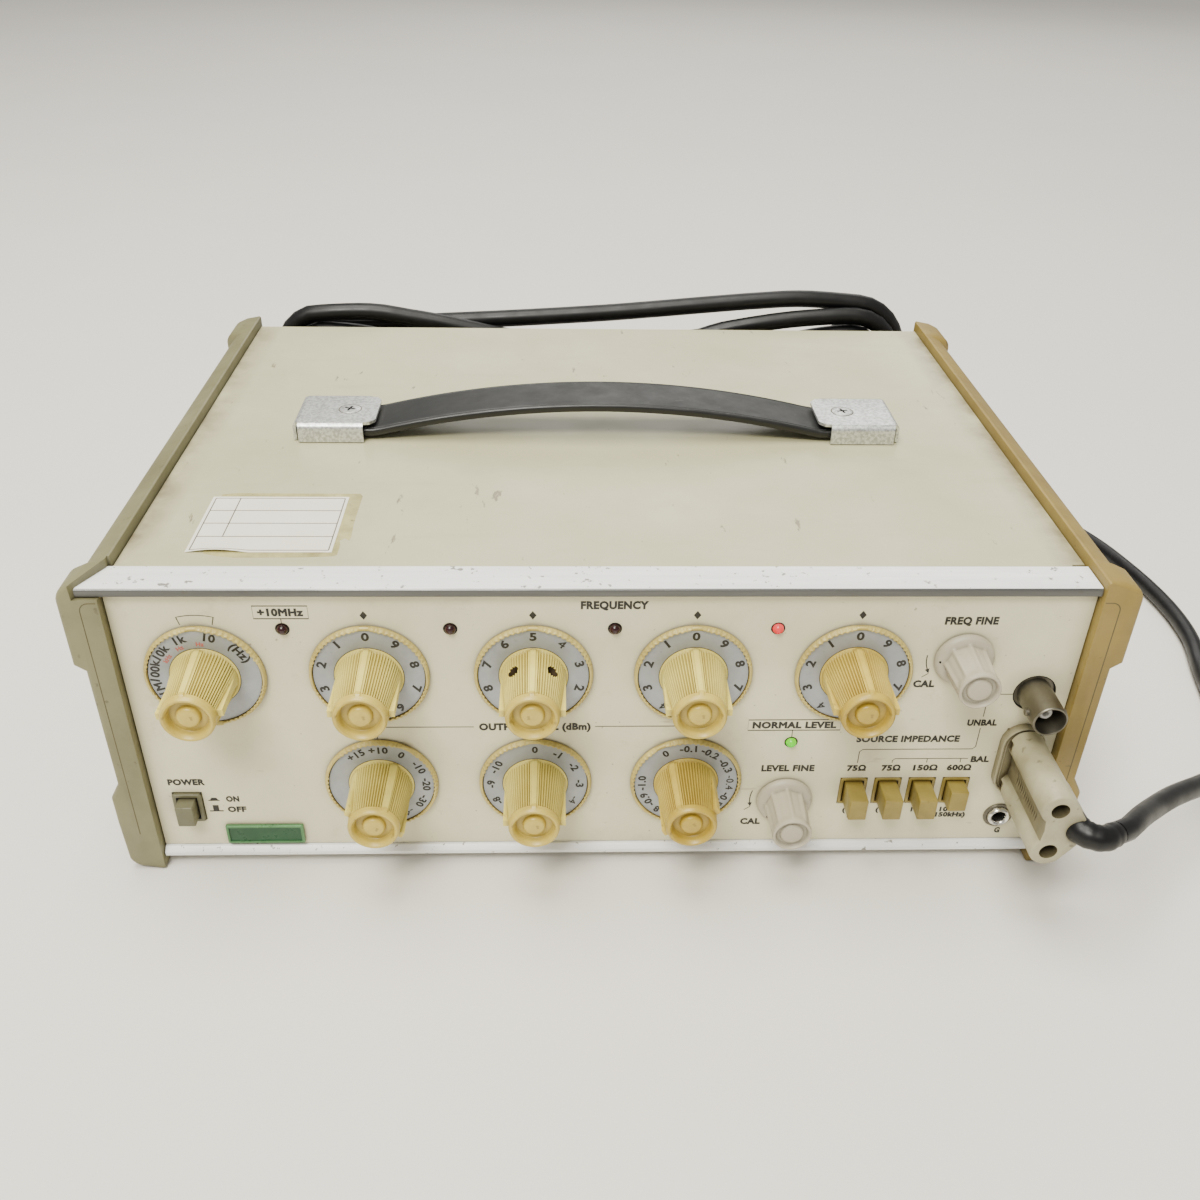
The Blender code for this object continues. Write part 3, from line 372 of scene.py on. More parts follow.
def lens(name, colour, deep, glow=0.0, glow_colour=None, painted_highlight_colour=None):
    """A lamp's plastic dome; a lit one glows paler towards its top, a painted highlight."""
    n = Nodes(name)
    base = n.mix(n.span(n.noise(700.0), 0.3, 0.7), colour, deep)
    if glow:
        # The glow's colour grows paler upwards: a painted highlight.
        height = n.span(n.axis("Y"), -0.0007, 0.0011)
        n.link(n.mix(height, glow_colour, painted_highlight_colour), n.shader.inputs["Emission Color"])
        n.shader.inputs["Emission Strength"].default_value = glow
    return n.finish(base, n.noise(300.0), 0.2, 0.32, n.noise(900.0), 0.03, 0.02)


# Darkening in corners and recesses: partly dirt, partly painted shade.
CASTING_DIRT_AND_SHADE = {"dirt_and_shade": 0.6, "reach": 3.0}
KNOB_DIRT_AND_SHADE = {"dirt_and_shade": 1.0, "dirt_and_shade_colour": srgb(104, 78, 34), "reach": 1.7}
BRUSHED = {"brushed": (0.15, 3.0, 3.0)}

# Colour, stain, then roughness, patch scale, staining and specks, and what else a finish has
WORN = {
    "case_left": ((124, 120, 87), (97, 92, 60), (0.5, 34.0, 0.8, 0.5), CASTING_DIRT_AND_SHADE),
    "case_right": ((142, 121, 60), (112, 92, 42), (0.5, 34.0, 0.8, 0.45), CASTING_DIRT_AND_SHADE),
    "knob": ((229, 214, 112), (198, 176, 74), (0.4, 60.0, 0.7, 0.35), KNOB_DIRT_AND_SHADE),
    # The caps' copies are darker than the grips': painted shade on the knobs' forward faces.
    "knob_cap_painted_shade": ((202, 180, 84), (168, 142, 54), (0.36, 90.0, 0.8, 0.5), KNOB_DIRT_AND_SHADE),
    "amber": ((214, 190, 84), (178, 148, 50), (0.4, 60.0, 0.9, 0.5), KNOB_DIRT_AND_SHADE),
    "amber_cap_painted_shade": ((186, 160, 60), (150, 120, 38), (0.36, 90.0, 0.8, 0.5), KNOB_DIRT_AND_SHADE),
    "knob_ring": ((204, 188, 112), (160, 140, 74), (0.42, 70.0, 0.9, 0.4), {**KNOB_DIRT_AND_SHADE, "reach": 1.6}),
    "dial_plate": ((156, 160, 163), (134, 137, 138), (0.4, 150.0, 0.7, 0.15),
                   {"dirt_and_shade": 0.3, "dirt_and_shade_colour": srgb(96, 90, 72), "reach": 1.2, "metallic": 0.15}),
    "small_knob": ((178, 170, 150), (154, 145, 123), (0.42, 60.0, 0.5, 0.2),
                   {"dirt_and_shade": 0.9, "dirt_and_shade_colour": srgb(66, 60, 50), "reach": 1.3}),
    "button": ((142, 125, 58), (108, 92, 38), (0.38, 90.0, 0.7, 0.35),
               {"dirt_and_shade": 0.9, "dirt_and_shade_colour": srgb(78, 60, 26)}),
    "power_button": ((102, 100, 75), (82, 79, 57), (0.4, 90.0, 0.6, 0.3), {"dirt_and_shade": 0.7}),
    "grey_plastic": ((168, 162, 134), (138, 130, 98), (0.45, 80.0, 0.8, 0.5),
                     {"dirt_and_shade": 1.0, "dirt_and_shade_colour": srgb(70, 60, 34), "reach": 4.5, "bump": 0.3}),
    "insulator": ((206, 204, 200), (166, 164, 160), (0.3, 300.0, 0.5), {}),
    "black_plastic": ((34, 33, 32), (60, 58, 54), (0.45, 60.0, 0.5), {}),
    "strap": ((20, 21, 21), (38, 38, 37), (0.5, 40.0, 0.6, 0.3),
              {"grain": 1400.0, "bump": 0.3, "dirt_and_shade_colour": srgb(86, 84, 78)}),
    "strap_edge": ((14, 14, 14), (30, 30, 29), (0.36, 60.0, 0.5), {"grain": 1400.0}),
    "badge": ((20, 74, 42), (14, 54, 30), (0.32, 120.0, 0.6), {}),
    "badge_rim": ((88, 132, 88), (62, 104, 66), (0.3, 120.0, 0.6), {"metallic": 0.4}),
    "board": ((40, 100, 58), (60, 118, 62), (0.4, 200.0, 0.6), {}),
    "laminate": ((150, 118, 70), (120, 92, 52), (0.55, 90.0, 0.6), {}),
    "seam": ((86, 78, 52), (62, 55, 34), (0.7, 90.0, 0.6), {}),
    # Near-black: dark joints round the dial plates, lamps and coax socket, the fine knobs' pointer dots, and
    # painted shade in holes, slots and screw recesses.
    "hollow": ((14, 13, 12), (22, 20, 18), (0.8, 90.0, 0.5), {}),
    "paper": ((233, 229, 214), (220, 214, 192), (0.6, 60.0, 0.6), {"grain": 1800.0}),
    "tape": ((186, 178, 124), (140, 131, 86), (0.2, 120.0, 1.0, 0.6), {}),
    # Dark brown inside the knobs' set-screw holes: painted shade.
    "well": ((58, 44, 22), (30, 22, 11), (0.6, 200.0, 0.6), {}),
    # Darker plastic for the plug's web and wells: dirt, and painted shade.
    "plug_web_dirt_and_shade": ((118, 110, 82), (90, 82, 58), (0.5, 200.0, 0.6), {"dirt_and_shade": 1.0, "reach": 5.0}),
}
METALS = {
    # One aluminium in truth: the near-white, hardly metallic top is a painted reflection of the bright
    # lights, and the near-black front face is painted shade and dark reflection.
    "trim": ((0.96, 0.96, 0.94), 0.34, {**BRUSHED, "metallic": 0.12, "specks": 0.8}),
    "trim_front_painted_shade": ((0.13, 0.13, 0.125), 0.34, {**BRUSHED, "metallic": 0.8, "specks": 0.4}),
    "zinc": ((0.80, 0.81, 0.79), 0.34, {"mottled": 1.0, "metallic": 0.75}),
    "steel": ((0.50, 0.50, 0.49), 0.32, {}),
    "nickel": ((0.19, 0.175, 0.14), 0.42, {}),
    "contact": ((0.82, 0.80, 0.75), 0.22, {}),
}
M = {
    "panel": panel_paint(),
    "cover": cover_paint(),
    "rubber": rubber("cord_rubber", srgb(10, 10, 11), 0.40),
    "moulding": rubber("moulded_rubber", srgb(9, 9, 10), 0.38),
    "ink": ink("ink", srgb(26, 25, 22)),
    "red_ink": ink("red_ink", srgb(176, 92, 84)),
    "rule": ink("rule", srgb(96, 94, 84)),
    "lamp_off": lens("lamp_off", srgb(52, 6, 12), srgb(22, 3, 6)),
    "lamp_red": lens(
        "lamp_red", srgb(200, 16, 34), srgb(160, 8, 22), 0.75, srgb(210, 4, 20), srgb(255, 110, 100),
    ),
    "lamp_green": lens(
        "lamp_green", srgb(60, 190, 0), srgb(40, 160, 0), 0.5, srgb(70, 240, 0), srgb(170, 255, 30),
    ),
}
for finish_name, (colour, stain, amounts, more) in WORN.items():
    M[finish_name] = worn(finish_name, srgb(*colour), srgb(*stain), *amounts, **more)
for finish_name, (colour, roughness, more) in METALS.items():
    M[finish_name] = metal(finish_name, colour, roughness, **more)


# ---- shapes


def piece(name, work, finish, matrix=None, sharp=32.0, body="cabinet"):
    """A mesh piece riding on a CAD body. finish is one material or several."""
    return placed(name, finished_mesh(name, work, finish, sharp), body, matrix)


def finished_mesh(name, work, finish, sharp):
    mesh = bpy.data.meshes.new(name)
    work.to_mesh(mesh)
    work.free()
    for one in [finish] if isinstance(finish, str) else finish:
        mesh.materials.append(M[one])
    mesh.shade_smooth()
    mesh.set_sharp_from_angle(angle=math.radians(sharp))
    return mesh


def placed(name, data, body, matrix=None):
    obj = add_object(name, data)
    obj.matrix_world = matrix or Matrix.Identity(4)
    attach(obj, body)
    return obj


def facing(x, height, depth=0.0, spin=0.0):
    """Local X right, Y up and Z towards the front, turned clockwise by spin degrees."""
    turn = Matrix.Rotation(math.pi / 2, 4, "X") @ Matrix.Rotation(-math.radians(spin), 4, "Z")
    return Matrix.Translation(at(x, depth, height)) @ turn


def turned_to(place, angle, axis):
    """A frame at a point in millimetres, turned by an angle in degrees."""
    return Matrix.Translation(at(*place)) @ Matrix.Rotation(math.radians(angle), 4, axis)


def skin(work, rings, closed=False, material=0):
    """Faces between rings of vertices; a closed row joins its last ring to its first, others get caps."""
    made = []
    pairs = list(zip(rings, rings[1:]))
    if closed:
        pairs.append((rings[-1], rings[0]))
    for one, two in pairs:
        for i in range(max(len(one), len(two))):
            corners = [one[i % len(one)], one[(i + 1) % len(one)], two[(i + 1) % len(two)], two[i % len(two)]]
            corners = list(dict.fromkeys(corners))
            if len(corners) > 2:
                made.append(work.faces.new(corners))
    if not closed:
        made += [work.faces.new(ring) for ring in (rings[0], rings[-1]) if len(ring) > 2]
    for face in made:
        face.material_index = material
    bmesh.ops.recalc_face_normals(work, faces=made)
    return made


def lathe(work, profile, sides=48, shape=None, closed=False, material=0):
    """Turned about local Z. The profile is (radius, ahead); shape(angle, radius, ahead) changes radii."""
    rings = []
    for radius, ahead in profile:
        ring = []
        for i in range(sides if radius else 1):
            angle = 2 * math.pi * i / sides
            r = shape(angle, radius, ahead) if shape else radius
            ring.append(work.verts.new(Vector((r * math.sin(angle), r * math.cos(angle), ahead)) * MM))
        rings.append(ring)
    return skin(work, rings, closed, material)


def prism(work, outline, span, plane="xz", material=0):
    """An outline given thickness: "xz" in depth, "yz" (depth, height) in x, "xy" (x, depth) in height."""
    order = {
        "xz": lambda a, b, c: at(a, c, b),
        "yz": lambda a, b, c: at(c, a, b),
        "xy": lambda a, b, c: at(a, b, c),
        "local": lambda a, b, c: Vector((a, b, c)) * MM,
    }[plane]
    return skin(work, [[work.verts.new(order(a, b, c)) for a, b in outline] for c in span], material=material)


def loft(work, sections, closed=False):
    """Joins outlines (x, height) of equal length at successive depths."""
    rings = [[work.verts.new(at(a, depth, b)) for a, b in outline] for depth, outline in sections]
    return skin(work, rings, closed)


def carve(work, tools, operation="DIFFERENCE"):
    """The solid after the tools, each one a mesh in work, are cut from it or joined to it."""
    objects = []
    for number, shape in enumerate([work, *tools]):
        mesh = bpy.data.meshes.new(f"carving_{number}")
        shape.to_mesh(mesh)
        shape.free()
        objects.append(add_object(mesh.name, mesh))
    for tool in objects[1:]:
        modifier = objects[0].modifiers.new("carve", "BOOLEAN")
        modifier.operation = operation
        modifier.solver = "EXACT"
        modifier.object = tool
    result = bmesh.new()
    result.from_mesh(evaluated_mesh(objects[0]))
    for obj in objects:
        bpy.data.objects.remove(obj)
    return result


def evaluated_mesh(obj):
    bpy.context.view_layer.update()
    return bpy.data.meshes.new_from_object(obj.evaluated_get(bpy.context.evaluated_depsgraph_get()))


def pipe(work, points, radii, sides):
    """A closed tube along points in metres, its radius in millimetres at each of them."""
    rings = []
    up = Vector((0.0, 0.0, 1.0))
    for i, point in enumerate(points):
        along = (points[min(i + 1, len(points) - 1)] - points[max(i - 1, 0)]).normalized()
        across = along.cross(up).normalized()
        up = across.cross(along).normalized()
        ring = []
        for k in range(sides):
            angle = 2 * math.pi * k / sides
            out = across * math.cos(angle) + up * math.sin(angle)
            ring.append(work.verts.new(point + out * radii[i] * MM))
        rings.append(ring)
    skin(work, rings)


def box_outline(x, z):
    return [(x[0], z[0]), (x[1], z[0]), (x[1], z[1]), (x[0], z[1])]


def around(middle_value, half):
    """The span that reaches half to either side."""
    return middle_value - half, middle_value + half


def soften(work, width, segments, faces=None):
    """Rounds the edges that are sharper than 30 degrees."""
    source = work.edges if faces is None else {edge for face in faces for edge in face.edges}
    sharp = [e for e in source if len(e.link_faces) == 2 and e.calc_face_angle() > math.radians(30.0)]
    bmesh.ops.bevel(work, geom=sharp, offset=width * MM, segments=segments, profile=0.5,
                    affect="EDGES", clamp_overlap=True)


def inset(outline, amount, shares=None):
    """Moves a counterclockwise outline inwards; shares scale the move of each point."""
    moved = []
    for i, (x, z) in enumerate(outline):
        bx, bz = outline[i - 1]
        ax, az = outline[(i + 1) % len(outline)]
        dx, dz = ax - bx, az - bz
        reach = amount * (shares[i] if shares else 1.0) / (math.hypot(dx, dz) or 1.0)
        moved.append((x - dz * reach, z + dx * reach))
    return moved


def arc(cx, cy, radius, start, end, steps=6):
    turns = [polar(radius, start + (end - start) * i / steps) for i in range(steps + 1)]
    return [(cx + x, cy + y) for x, y in turns]


def rounded(x, z, radius):
    """A rectangle with round corners."""
    points = []
    for cx, cz, start in (
        (x[1] - radius, z[1] - radius, 0.0), (x[0] + radius, z[1] - radius, 90.0),
        (x[0] + radius, z[0] + radius, 180.0), (x[1] - radius, z[0] + radius, 270.0),
    ):
        points += arc(cx, cz, radius, start, start + 90.0, 5)
    return points


def ribbon(work, points, width=0.22, ahead=0.0, thick=0.05, closed=False):
    """A drawn line: a thin closed strip along points (x, height) on a face at depth -ahead."""
    count = len(points)
    rows = []
    for i, (x, z) in enumerate(points):
        before = points[i - 1] if i or closed else points[i]
        after = points[(i + 1) % count] if i < count - 1 or closed else points[i]
        dx, dz = after[0] - before[0], after[1] - before[1]
        length = math.hypot(dx, dz) or 1.0
        one = Vector((x - before[0], z - before[1]))
        two = Vector((after[0] - x, after[1] - z))
        cosine = one.normalized().dot(two.normalized()) if one.length and two.length else 1.0
        stretch = width / 2 / max(0.5, math.sqrt((1 + cosine) / 2)) / length
        rows.append([
            work.verts.new(at(x - s * dz * stretch, -ahead - f * thick + 0.02, z + s * dx * stretch))
            for s, f in ((1, 1), (-1, 1), (-1, 0), (1, 0))
        ])
    skin(work, rows, closed)


LETTER_SPACING = 1.08


def text_mesh(text, weight):
    """The text as a closed mesh of cap height CAP, its strokes thickened by the weight."""
    curve = bpy.data.curves.new("text", "FONT")
    curve.body = text
    curve.size = 1.0
    curve.space_character = LETTER_SPACING
    curve.extrude = 0.02
    curve.bevel_depth = weight
    curve.bevel_resolution = 0
    curve.resolution_u = 3
    curve.align_x = "CENTER"
    obj = add_object("text", curve)
    mesh = evaluated_mesh(obj)
    bpy.data.objects.remove(obj)
    bpy.data.curves.remove(curve)
    return mesh


CAP = max(v.co.y for v in text_mesh("H", 0.0).vertices)


def lettering(work, text, matrix, cap, width=None, stretch=1.0, weight=0.05, material=0):
    """Adds text centred on the matrix's origin, cap millimetres high, stretched or fitted to a width."""
    mesh = text_mesh(text, weight)
    low = min(v.co.x for v in mesh.vertices)
    high = max(v.co.x for v in mesh.vertices)
    tall = cap / CAP * MM
    wide = tall * stretch if width is None else width * MM / (high - low)
    fit = Matrix.Diagonal((wide, tall, 0.001, 1.0)) @ Matrix.Translation((-(low + high) / 2, -CAP / 2, 0.0))
    mesh.transform(matrix @ fit)
    first = len(work.faces)
    work.from_mesh(mesh)
    work.faces.ensure_lookup_table()
    for face in work.faces[first:]:
        face.material_index = material
    bpy.data.meshes.remove(mesh)


# ---- cords


def smooth_route(points, spacing):
    """Evenly spaced points on a Catmull-Rom curve through the route's own points, in metres."""
    points = [at(*p) for p in points]
    fine = []
    padded = [points[0] * 2 - points[1], *points, points[-1] * 2 - points[-2]]
    for i in range(1, len(padded) - 2):
        a, b, c, d = padded[i - 1:i + 3]
        for step in range(ROUTE_STEPS):
            t = step / ROUTE_STEPS
            fine.append(
                0.5 * (2 * b + (c - a) * t + (2 * a - 5 * b + 4 * c - d) * t * t
                       + (3 * b - a - 3 * c + d) * t * t * t)
            )
    fine.append(points[-1])
    along = [0.0]
    for before, after in zip(fine, fine[1:]):
        along.append(along[-1] + (after - before).length)
    count = round(along[-1] / (spacing * MM)) + 1
    even = []
    k = 0
    for i in range(count):
        target = along[-1] * i / (count - 1)
        while k < len(along) - 2 and along[k + 1] < target:
            k += 1
        share = (target - along[k]) / (along[k + 1] - along[k])
        even.append(fine[k].lerp(fine[k + 1], share))
    return even


def cord_curve(name, route, radius, spacing):
    curve = bpy.data.curves.new(name, "CURVE")
    curve.dimensions = "3D"
    curve.bevel_depth = radius * MM
    curve.bevel_resolution = 4
    curve.use_fill_caps = True
    points = smooth_route(route, spacing)
    spline = curve.splines.new("POLY")
    spline.points.add(len(points) - 1)
    for target, point in zip(spline.points, points):
        target.co = (*point, 1.0)
    spline.use_smooth = True
    curve.materials.append(M["rubber"])
    return placed(name, curve, "cabinet")


def post_bend(side, post_height, turn, start):
    """Points of a quarter turn round a post; start is the angle it begins at, counterclockwise."""
    radius, depth = turn
    bend = arc(side * POST_X, post_height, radius, start, start + 90.0, 5)
    return [(x, depth, height) for x, height in bend]


def lower_run(start, end):
    """From the left-hand lower post to the right-hand one, hanging a little."""
    points = []
    for t in (0.25, 0.5, 0.75):
        drop = RUN_SAG * 4 * t * (1 - t)
        depth = start[1] + (end[1] - start[1]) * t
        points.append((POST_X * (2 * t - 1), depth, POST_LOW - start[0] + (start[0] - end[0]) * t - drop))
    return points


def mains_route():
    route = MAINS_EXIT_ROUTE + FIRST_RUN
    for number, (low_right, high_right, high_left, low_left) in enumerate(TURN_CORNERS):
        route += post_bend(1, POST_LOW, low_right, -90.0)
        route += post_bend(1, POST_HIGH, high_right, 0.0)
        route += UPPER_RUNS[number]
        route += post_bend(-1, POST_HIGH, high_left, 90.0)[1:]
        route += post_bend(-1, POST_LOW, low_left, 180.0)
        if number + 1 < len(TURN_CORNERS):
            route += lower_run(low_left, TURN_CORNERS[number + 1][0])
    return route + MAINS_TAIL_ROUTE


def coil_route():
    """Turns of the test lead, clockwise seen from above; each passes into the next in its last part."""
    route = []
    for i in range(1, (len(COIL_RINGS) - 1) * COIL_STEPS + 1):
        ring, part = divmod(i, COIL_STEPS)
        share = max(0.0, (part / COIL_STEPS - 1.0 + COIL_PASSING) / COIL_PASSING)
        share = share * share * (3 - 2 * share)
        here = Vector(COIL_RINGS[ring])
        ahead = Vector(COIL_RINGS[min(ring + 1, len(COIL_RINGS) - 1)])
        radius, height = here + (ahead - here) * share
        angle = 2 * math.pi * i / COIL_STEPS
        across, along = radius * math.sin(angle), radius * math.cos(angle)
        route.append((TEST_COIL[0] - across, TEST_COIL[1] - along, height))
    return route


def test_route():
    coil_start = (TEST_COIL[0], TEST_COIL[1] - COIL_RINGS[0][0])
    flat = [(x, depth, LEAD_REST) for x, depth in [*LEAD_ON_FLOOR, coil_start]]
    return TEST_LEAD_ROUTE + flat + coil_route() + CONNECTOR_BOOT


# What is on the leads, as in the CAD model
BALANCED = middle("balanced_socket")
PIN_HALF = 7.4
BARREL = 5.0
PLUG_FRONT = -31.0
PLUG_STEP = -14.0
PLUG_BACK = -3.4
LOBE = (5.6, -0.6, 4.9)
WELL_RADIUS = 2.5
WELL_FLOOR = 24.0
WEB = 3.2
NECK = 50.0
GRIP_RIBS = 13
GRIP_PITCH = 1.25
TEST_BOOT_ROUTE = [
    (124.6, -22.5, 39.8), (126.6, -26.0, 39.8), (128.6, -31.2, 39.6), (133.4, -33.2, 39.2),
    (138.4, -30.6, 38.5),
]
CONNECTOR_FACE = (71.5, 239.0, 5.1)
PLUG_PLACE = (-40.0, 271.3)
PLUG_HEIGHT = 7.4
TAIL_HEIGHT = 4.4
TAIL_RIBS = 8
TAIL_PITCH = 1.7
BLADE_HALF = 6.35
BLADE_THICK = 1.5
BLADE_HEIGHTS = (4.3, 10.5)
BLADE_SPAN = (37.0, 54.8)
RELIEF_RIBS = 8
RELIEF_PITCH = 2.4
RELIEF = (-62.0, 42.0)
REAR_FACE = 192.6


def plug_outline(with_lobe):
    """Two round barrels joined by a web; the front part has the lobe that holds the lead."""
    x, height = BALANCED
    left = [(x - WEB, height + 2.6), (x - WEB + 0.3, height), (x - WEB, height - 2.6)]
    right = [(x + WEB, height - 2.6), (x + WEB - 0.3, height), (x + WEB, height + 2.6)]
    begin, end, steps = -NECK, 360.0 + NECK, 24
    if with_lobe:
        begin, end, steps = 32.0, 330.0, 18
        right = arc(x + LOBE[0], height + LOBE[1], LOBE[2], -62.0, 58.0, 10)
    return [*arc(x, height + PIN_HALF, BARREL, begin, 180.0 + NECK, steps), *left,
            *arc(x, height - PIN_HALF, BARREL, 180.0 - NECK, end, steps), *right]


def plug_body():
    """The moulded two-pin body: a screw well in front of each pin, fine grip ribs on its web; the web and the
    wells' walls are darker, dirt and painted shade.
    """
    x, height = BALANCED
    work = bmesh.new()
    outline = plug_outline(True)
    sections = [(PLUG_FRONT, 0.6), (PLUG_FRONT + 0.2, 0.25), (PLUG_FRONT + 0.6, 0.0),
                (PLUG_STEP - 0.5, 0.0), (PLUG_STEP - 0.1, 0.3)]
    loft(work, [(depth, inset(outline, amount)) for depth, amount in sections])
    barrels = bmesh.new()
    outline = plug_outline(False)
    sections = [(PLUG_FRONT + 4.0, 0.04), (PLUG_BACK - 0.3, 0.04), (PLUG_BACK, 0.3)]
    loft(barrels, [(depth, inset(outline, amount)) for depth, amount in sections])
    work = carve(work, [barrels], "UNION")
    tools = []
    for pin in around(height, PIN_HALF):
        well = bmesh.new()
        lathe(well, [(0.0, 36.0), (WELL_RADIUS, 36.0), (WELL_RADIUS, WELL_FLOOR), (0.0, WELL_FLOOR)], 32)
        well.transform(facing(x, pin))
        notch = bmesh.new()
        outline = box_outline((x - 6.0, x - 3.9), (pin - 1.4, pin + 1.8))
        prism(notch, outline, (PLUG_BACK - 2.4, PLUG_BACK + 1.0))
        tools += [well, notch]
    work = carve(work, tools)
    # The web's left face, its ribs and the wells' walls take the darker finish: dirt, and painted shade.
    for face in work.faces:
        across, depth, up = face.calc_center_median() / MM - Vector((x, PANEL_Y, height))
        in_well = math.hypot(across, abs(up) - PIN_HALF) < WELL_RADIUS + 0.05
        below_front = PLUG_FRONT + 0.1 < depth < 0.2 - WELL_FLOOR
        on_web = across < 0.4 - WEB and abs(up) < 3.6
        if on_web or (in_well and below_front):
            face.material_index = 1
    for number in range(GRIP_RIBS):
        depth = PLUG_FRONT + 6.0 + GRIP_PITCH * number
        rib = box_outline((x - WEB + 0.08, x - WEB + 1.0), around(height, 2.1))
        prism(work, rib, (depth, depth + 0.6), material=1)
    return work


def plug_metal():
    """The two pins and the screws seen in their wells."""
    x, height = BALANCED
    work = bmesh.new()
    top = WELL_FLOOR + 1.8
    for pin in around(height, PIN_HALF):
        first = len(work.verts)
        lathe(work, [(0.0, -11.0), (1.2, -11.0), (1.9, -10.2), (1.9, 4.0), (0.0, 4.0)], 24)
        lathe(work, [(0.0, top), (1.7, top), (2.1, top - 0.4), (2.1, top - 2.4), (0.0, top - 2.4)], 32)
        # The screw's slot is a thin near-black mark: painted shade.
        prism(work, box_outline(around(0.0, 1.8), around(0.0, 0.32)), (top - 0.1, top + 0.02), "local", 1)
        work.verts.ensure_lookup_table()
        bmesh.ops.transform(work, matrix=facing(x, pin), verts=work.verts[first:])
    return work


def make_test_plugs():
    """The plug on the balanced socket and its twin at the lead's far end, each with a rubber boot."""
    x, height = BALANCED
    lay_down = Matrix(((0.0, -1.0, 0.0), (0.0, 0.0, -1.0), (1.0, 0.0, 0.0))).to_4x4()
    to_middle = Matrix.Translation(-at(x, PLUG_FRONT, height))
    lying = Matrix.Translation(at(*CONNECTOR_FACE)) @ lay_down @ to_middle
    straight = [(x + 7.3, PLUG_FRONT + step, height + LOBE[1]) for step in (5.0, 0.0, -4.0, -8.0)]
    pieces = []
    for name, node, route, matrix in (
        ("test_plug", "test_plug", TEST_BOOT_ROUTE, None), ("far_plug", "test_connector", straight, lying),
    ):
        plastic = "grey_plastic"
        body = piece(f"{name}_body", plug_body(), [plastic, "plug_web_dirt_and_shade"], matrix, 40.0)
        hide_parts(node)
        metal_parts = piece(f"{name}_pins", plug_metal(), ["contact", "hollow"], matrix)
        points = smooth_route(route, 0.8)
        last = len(points) - 1
        radii = [4.2 - 0.85 * i / last + 0.1 * math.sin(i * 1.9) for i in range(last + 1)]
        boot = bmesh.new()
        pipe(boot, points, radii, 32)
        pieces += [body, metal_parts, piece(f"{name}_boot", boot, "moulding", matrix, 50.0)]
    return pieces


def make_mains_plug():
    """A moulded two-pin plug with a ribbed tail and grip ridges, lying on the surface."""
    x, start = PLUG_PLACE
    sections = []
    for number in range(TAIL_RIBS):
        low, radius = start + TAIL_PITCH * number, 4.0 + 0.13 * number
        for step, less in ((0.0, 0.5), (0.25, 0.0), (0.85, 0.0), (1.1, 0.5)):
            r = radius - less
            heights = (TAIL_HEIGHT - min(r, 4.15), TAIL_HEIGHT + r)
            sections.append((low + step, rounded(around(x, r), heights, min(r, 4.1))))
    ridges = [(depth, *size) for depth, size in zip(range(24, 31), 4 * [(12.0, 7.1), (11.6, 7.0)])]
    for depth, wide, high in [(14.2, 6.5, 5.0), (16.0, 9.6, 6.2), (19.0, 11.6, 6.9), *ridges,
                              (36.6, 12.0, 7.1), (37.6, 11.6, 6.7), (38.0, 10.9, 6.1)]:
        outline = rounded(around(x, wide), around(PLUG_HEIGHT, high), min(4.2, high * 0.6))
        sections.append((start + depth, outline))
    work = bmesh.new()
    loft(work, sections)
    body = piece("mains_plug_body", work, "moulding", sharp=38.0)
    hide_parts("mains_plug")
    blades = bmesh.new()
    span = (start + BLADE_SPAN[0], start + BLADE_SPAN[1])
    for blade in around(x, BLADE_HALF):
        faces = prism(blades, box_outline(around(blade, BLADE_THICK / 2), BLADE_HEIGHTS), span)
        soften(blades, 0.35, 2, faces)
    return body, piece("mains_plug_blades", blades, "contact")


def make_strain_relief():
    """A ribbed, tapering bush in the rear panel."""
    profile = [(3.7, 26.0), (4.3, 26.0), (4.5, 25.6)]
    for number in range(RELIEF_RIBS):
        ahead = 24.8 - RELIEF_PITCH * number
        radius = 4.55 + 0.2 * number
        profile += [(radius, ahead), (radius + 0.05, ahead - 1.1), (radius - 0.55, ahead - 1.3),
                    (radius - 0.5, ahead - 2.2)]
    profile += [(6.2, 5.2), (8.1, 4.7), (8.5, 4.2), (8.5, 0.5), (8.3, 0.3), (5.7, 0.3), (5.7, -4.0),
                (3.7, -4.0)]
    spot = turned_to((RELIEF[0], REAR_FACE, RELIEF[1]), -90.0, "X")
    relief = turned("strain_relief_bush", profile, "moulding", spot, 40, 40.0, closed=True)
    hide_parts("strain_relief")
    return relief


def turned(name, profile, finish, matrix, sides=48, sharp=32.0, closed=False):
    """A piece made of one turned profile."""
    work = bmesh.new()
    lathe(work, profile, sides, closed=closed)
    return piece(name, work, finish, matrix, sharp)


def make_coil_tie():
    """A band round the coil's four strands at its far side, its free end lying on top."""
    near = TEST_COIL[1] + COIL_RINGS[1][0] - TEST_RADIUS
    far = TEST_COIL[1] + COIL_RINGS[0][0] + TEST_RADIUS
    top = COIL_RINGS[2][1] + TEST_RADIUS + TIE_ROOM
    outer = rounded((near - TIE_SLACK - TIE_THICK, far + TIE_ROOM + TIE_THICK), (0.02, top + TIE_THICK), 3.3)
    inner = rounded((near - TIE_SLACK, far + TIE_ROOM), (0.14, top), 2.6)
    ends = around(TEST_COIL[0], TIE_HALF)
    loops = ((outer, ends[0]), (outer, ends[1]), (inner, ends[1]), (inner, ends[0]))
    work = bmesh.new()
    skin(work, [[work.verts.new(at(x, a, b)) for a, b in outline] for outline, x in loops], True)
    flap = [(near + 1.5, top + TIE_THICK), (far - 3.0, top + TIE_THICK), (far - 3.0, top + 2 * TIE_THICK),
            (near + 1.9, top + 2 * TIE_THICK)]
    soften(work, 0.15, 2, prism(work, flap, ends, "yz"))
    return piece("coil_tie", work, "strap_edge", sharp=40.0)


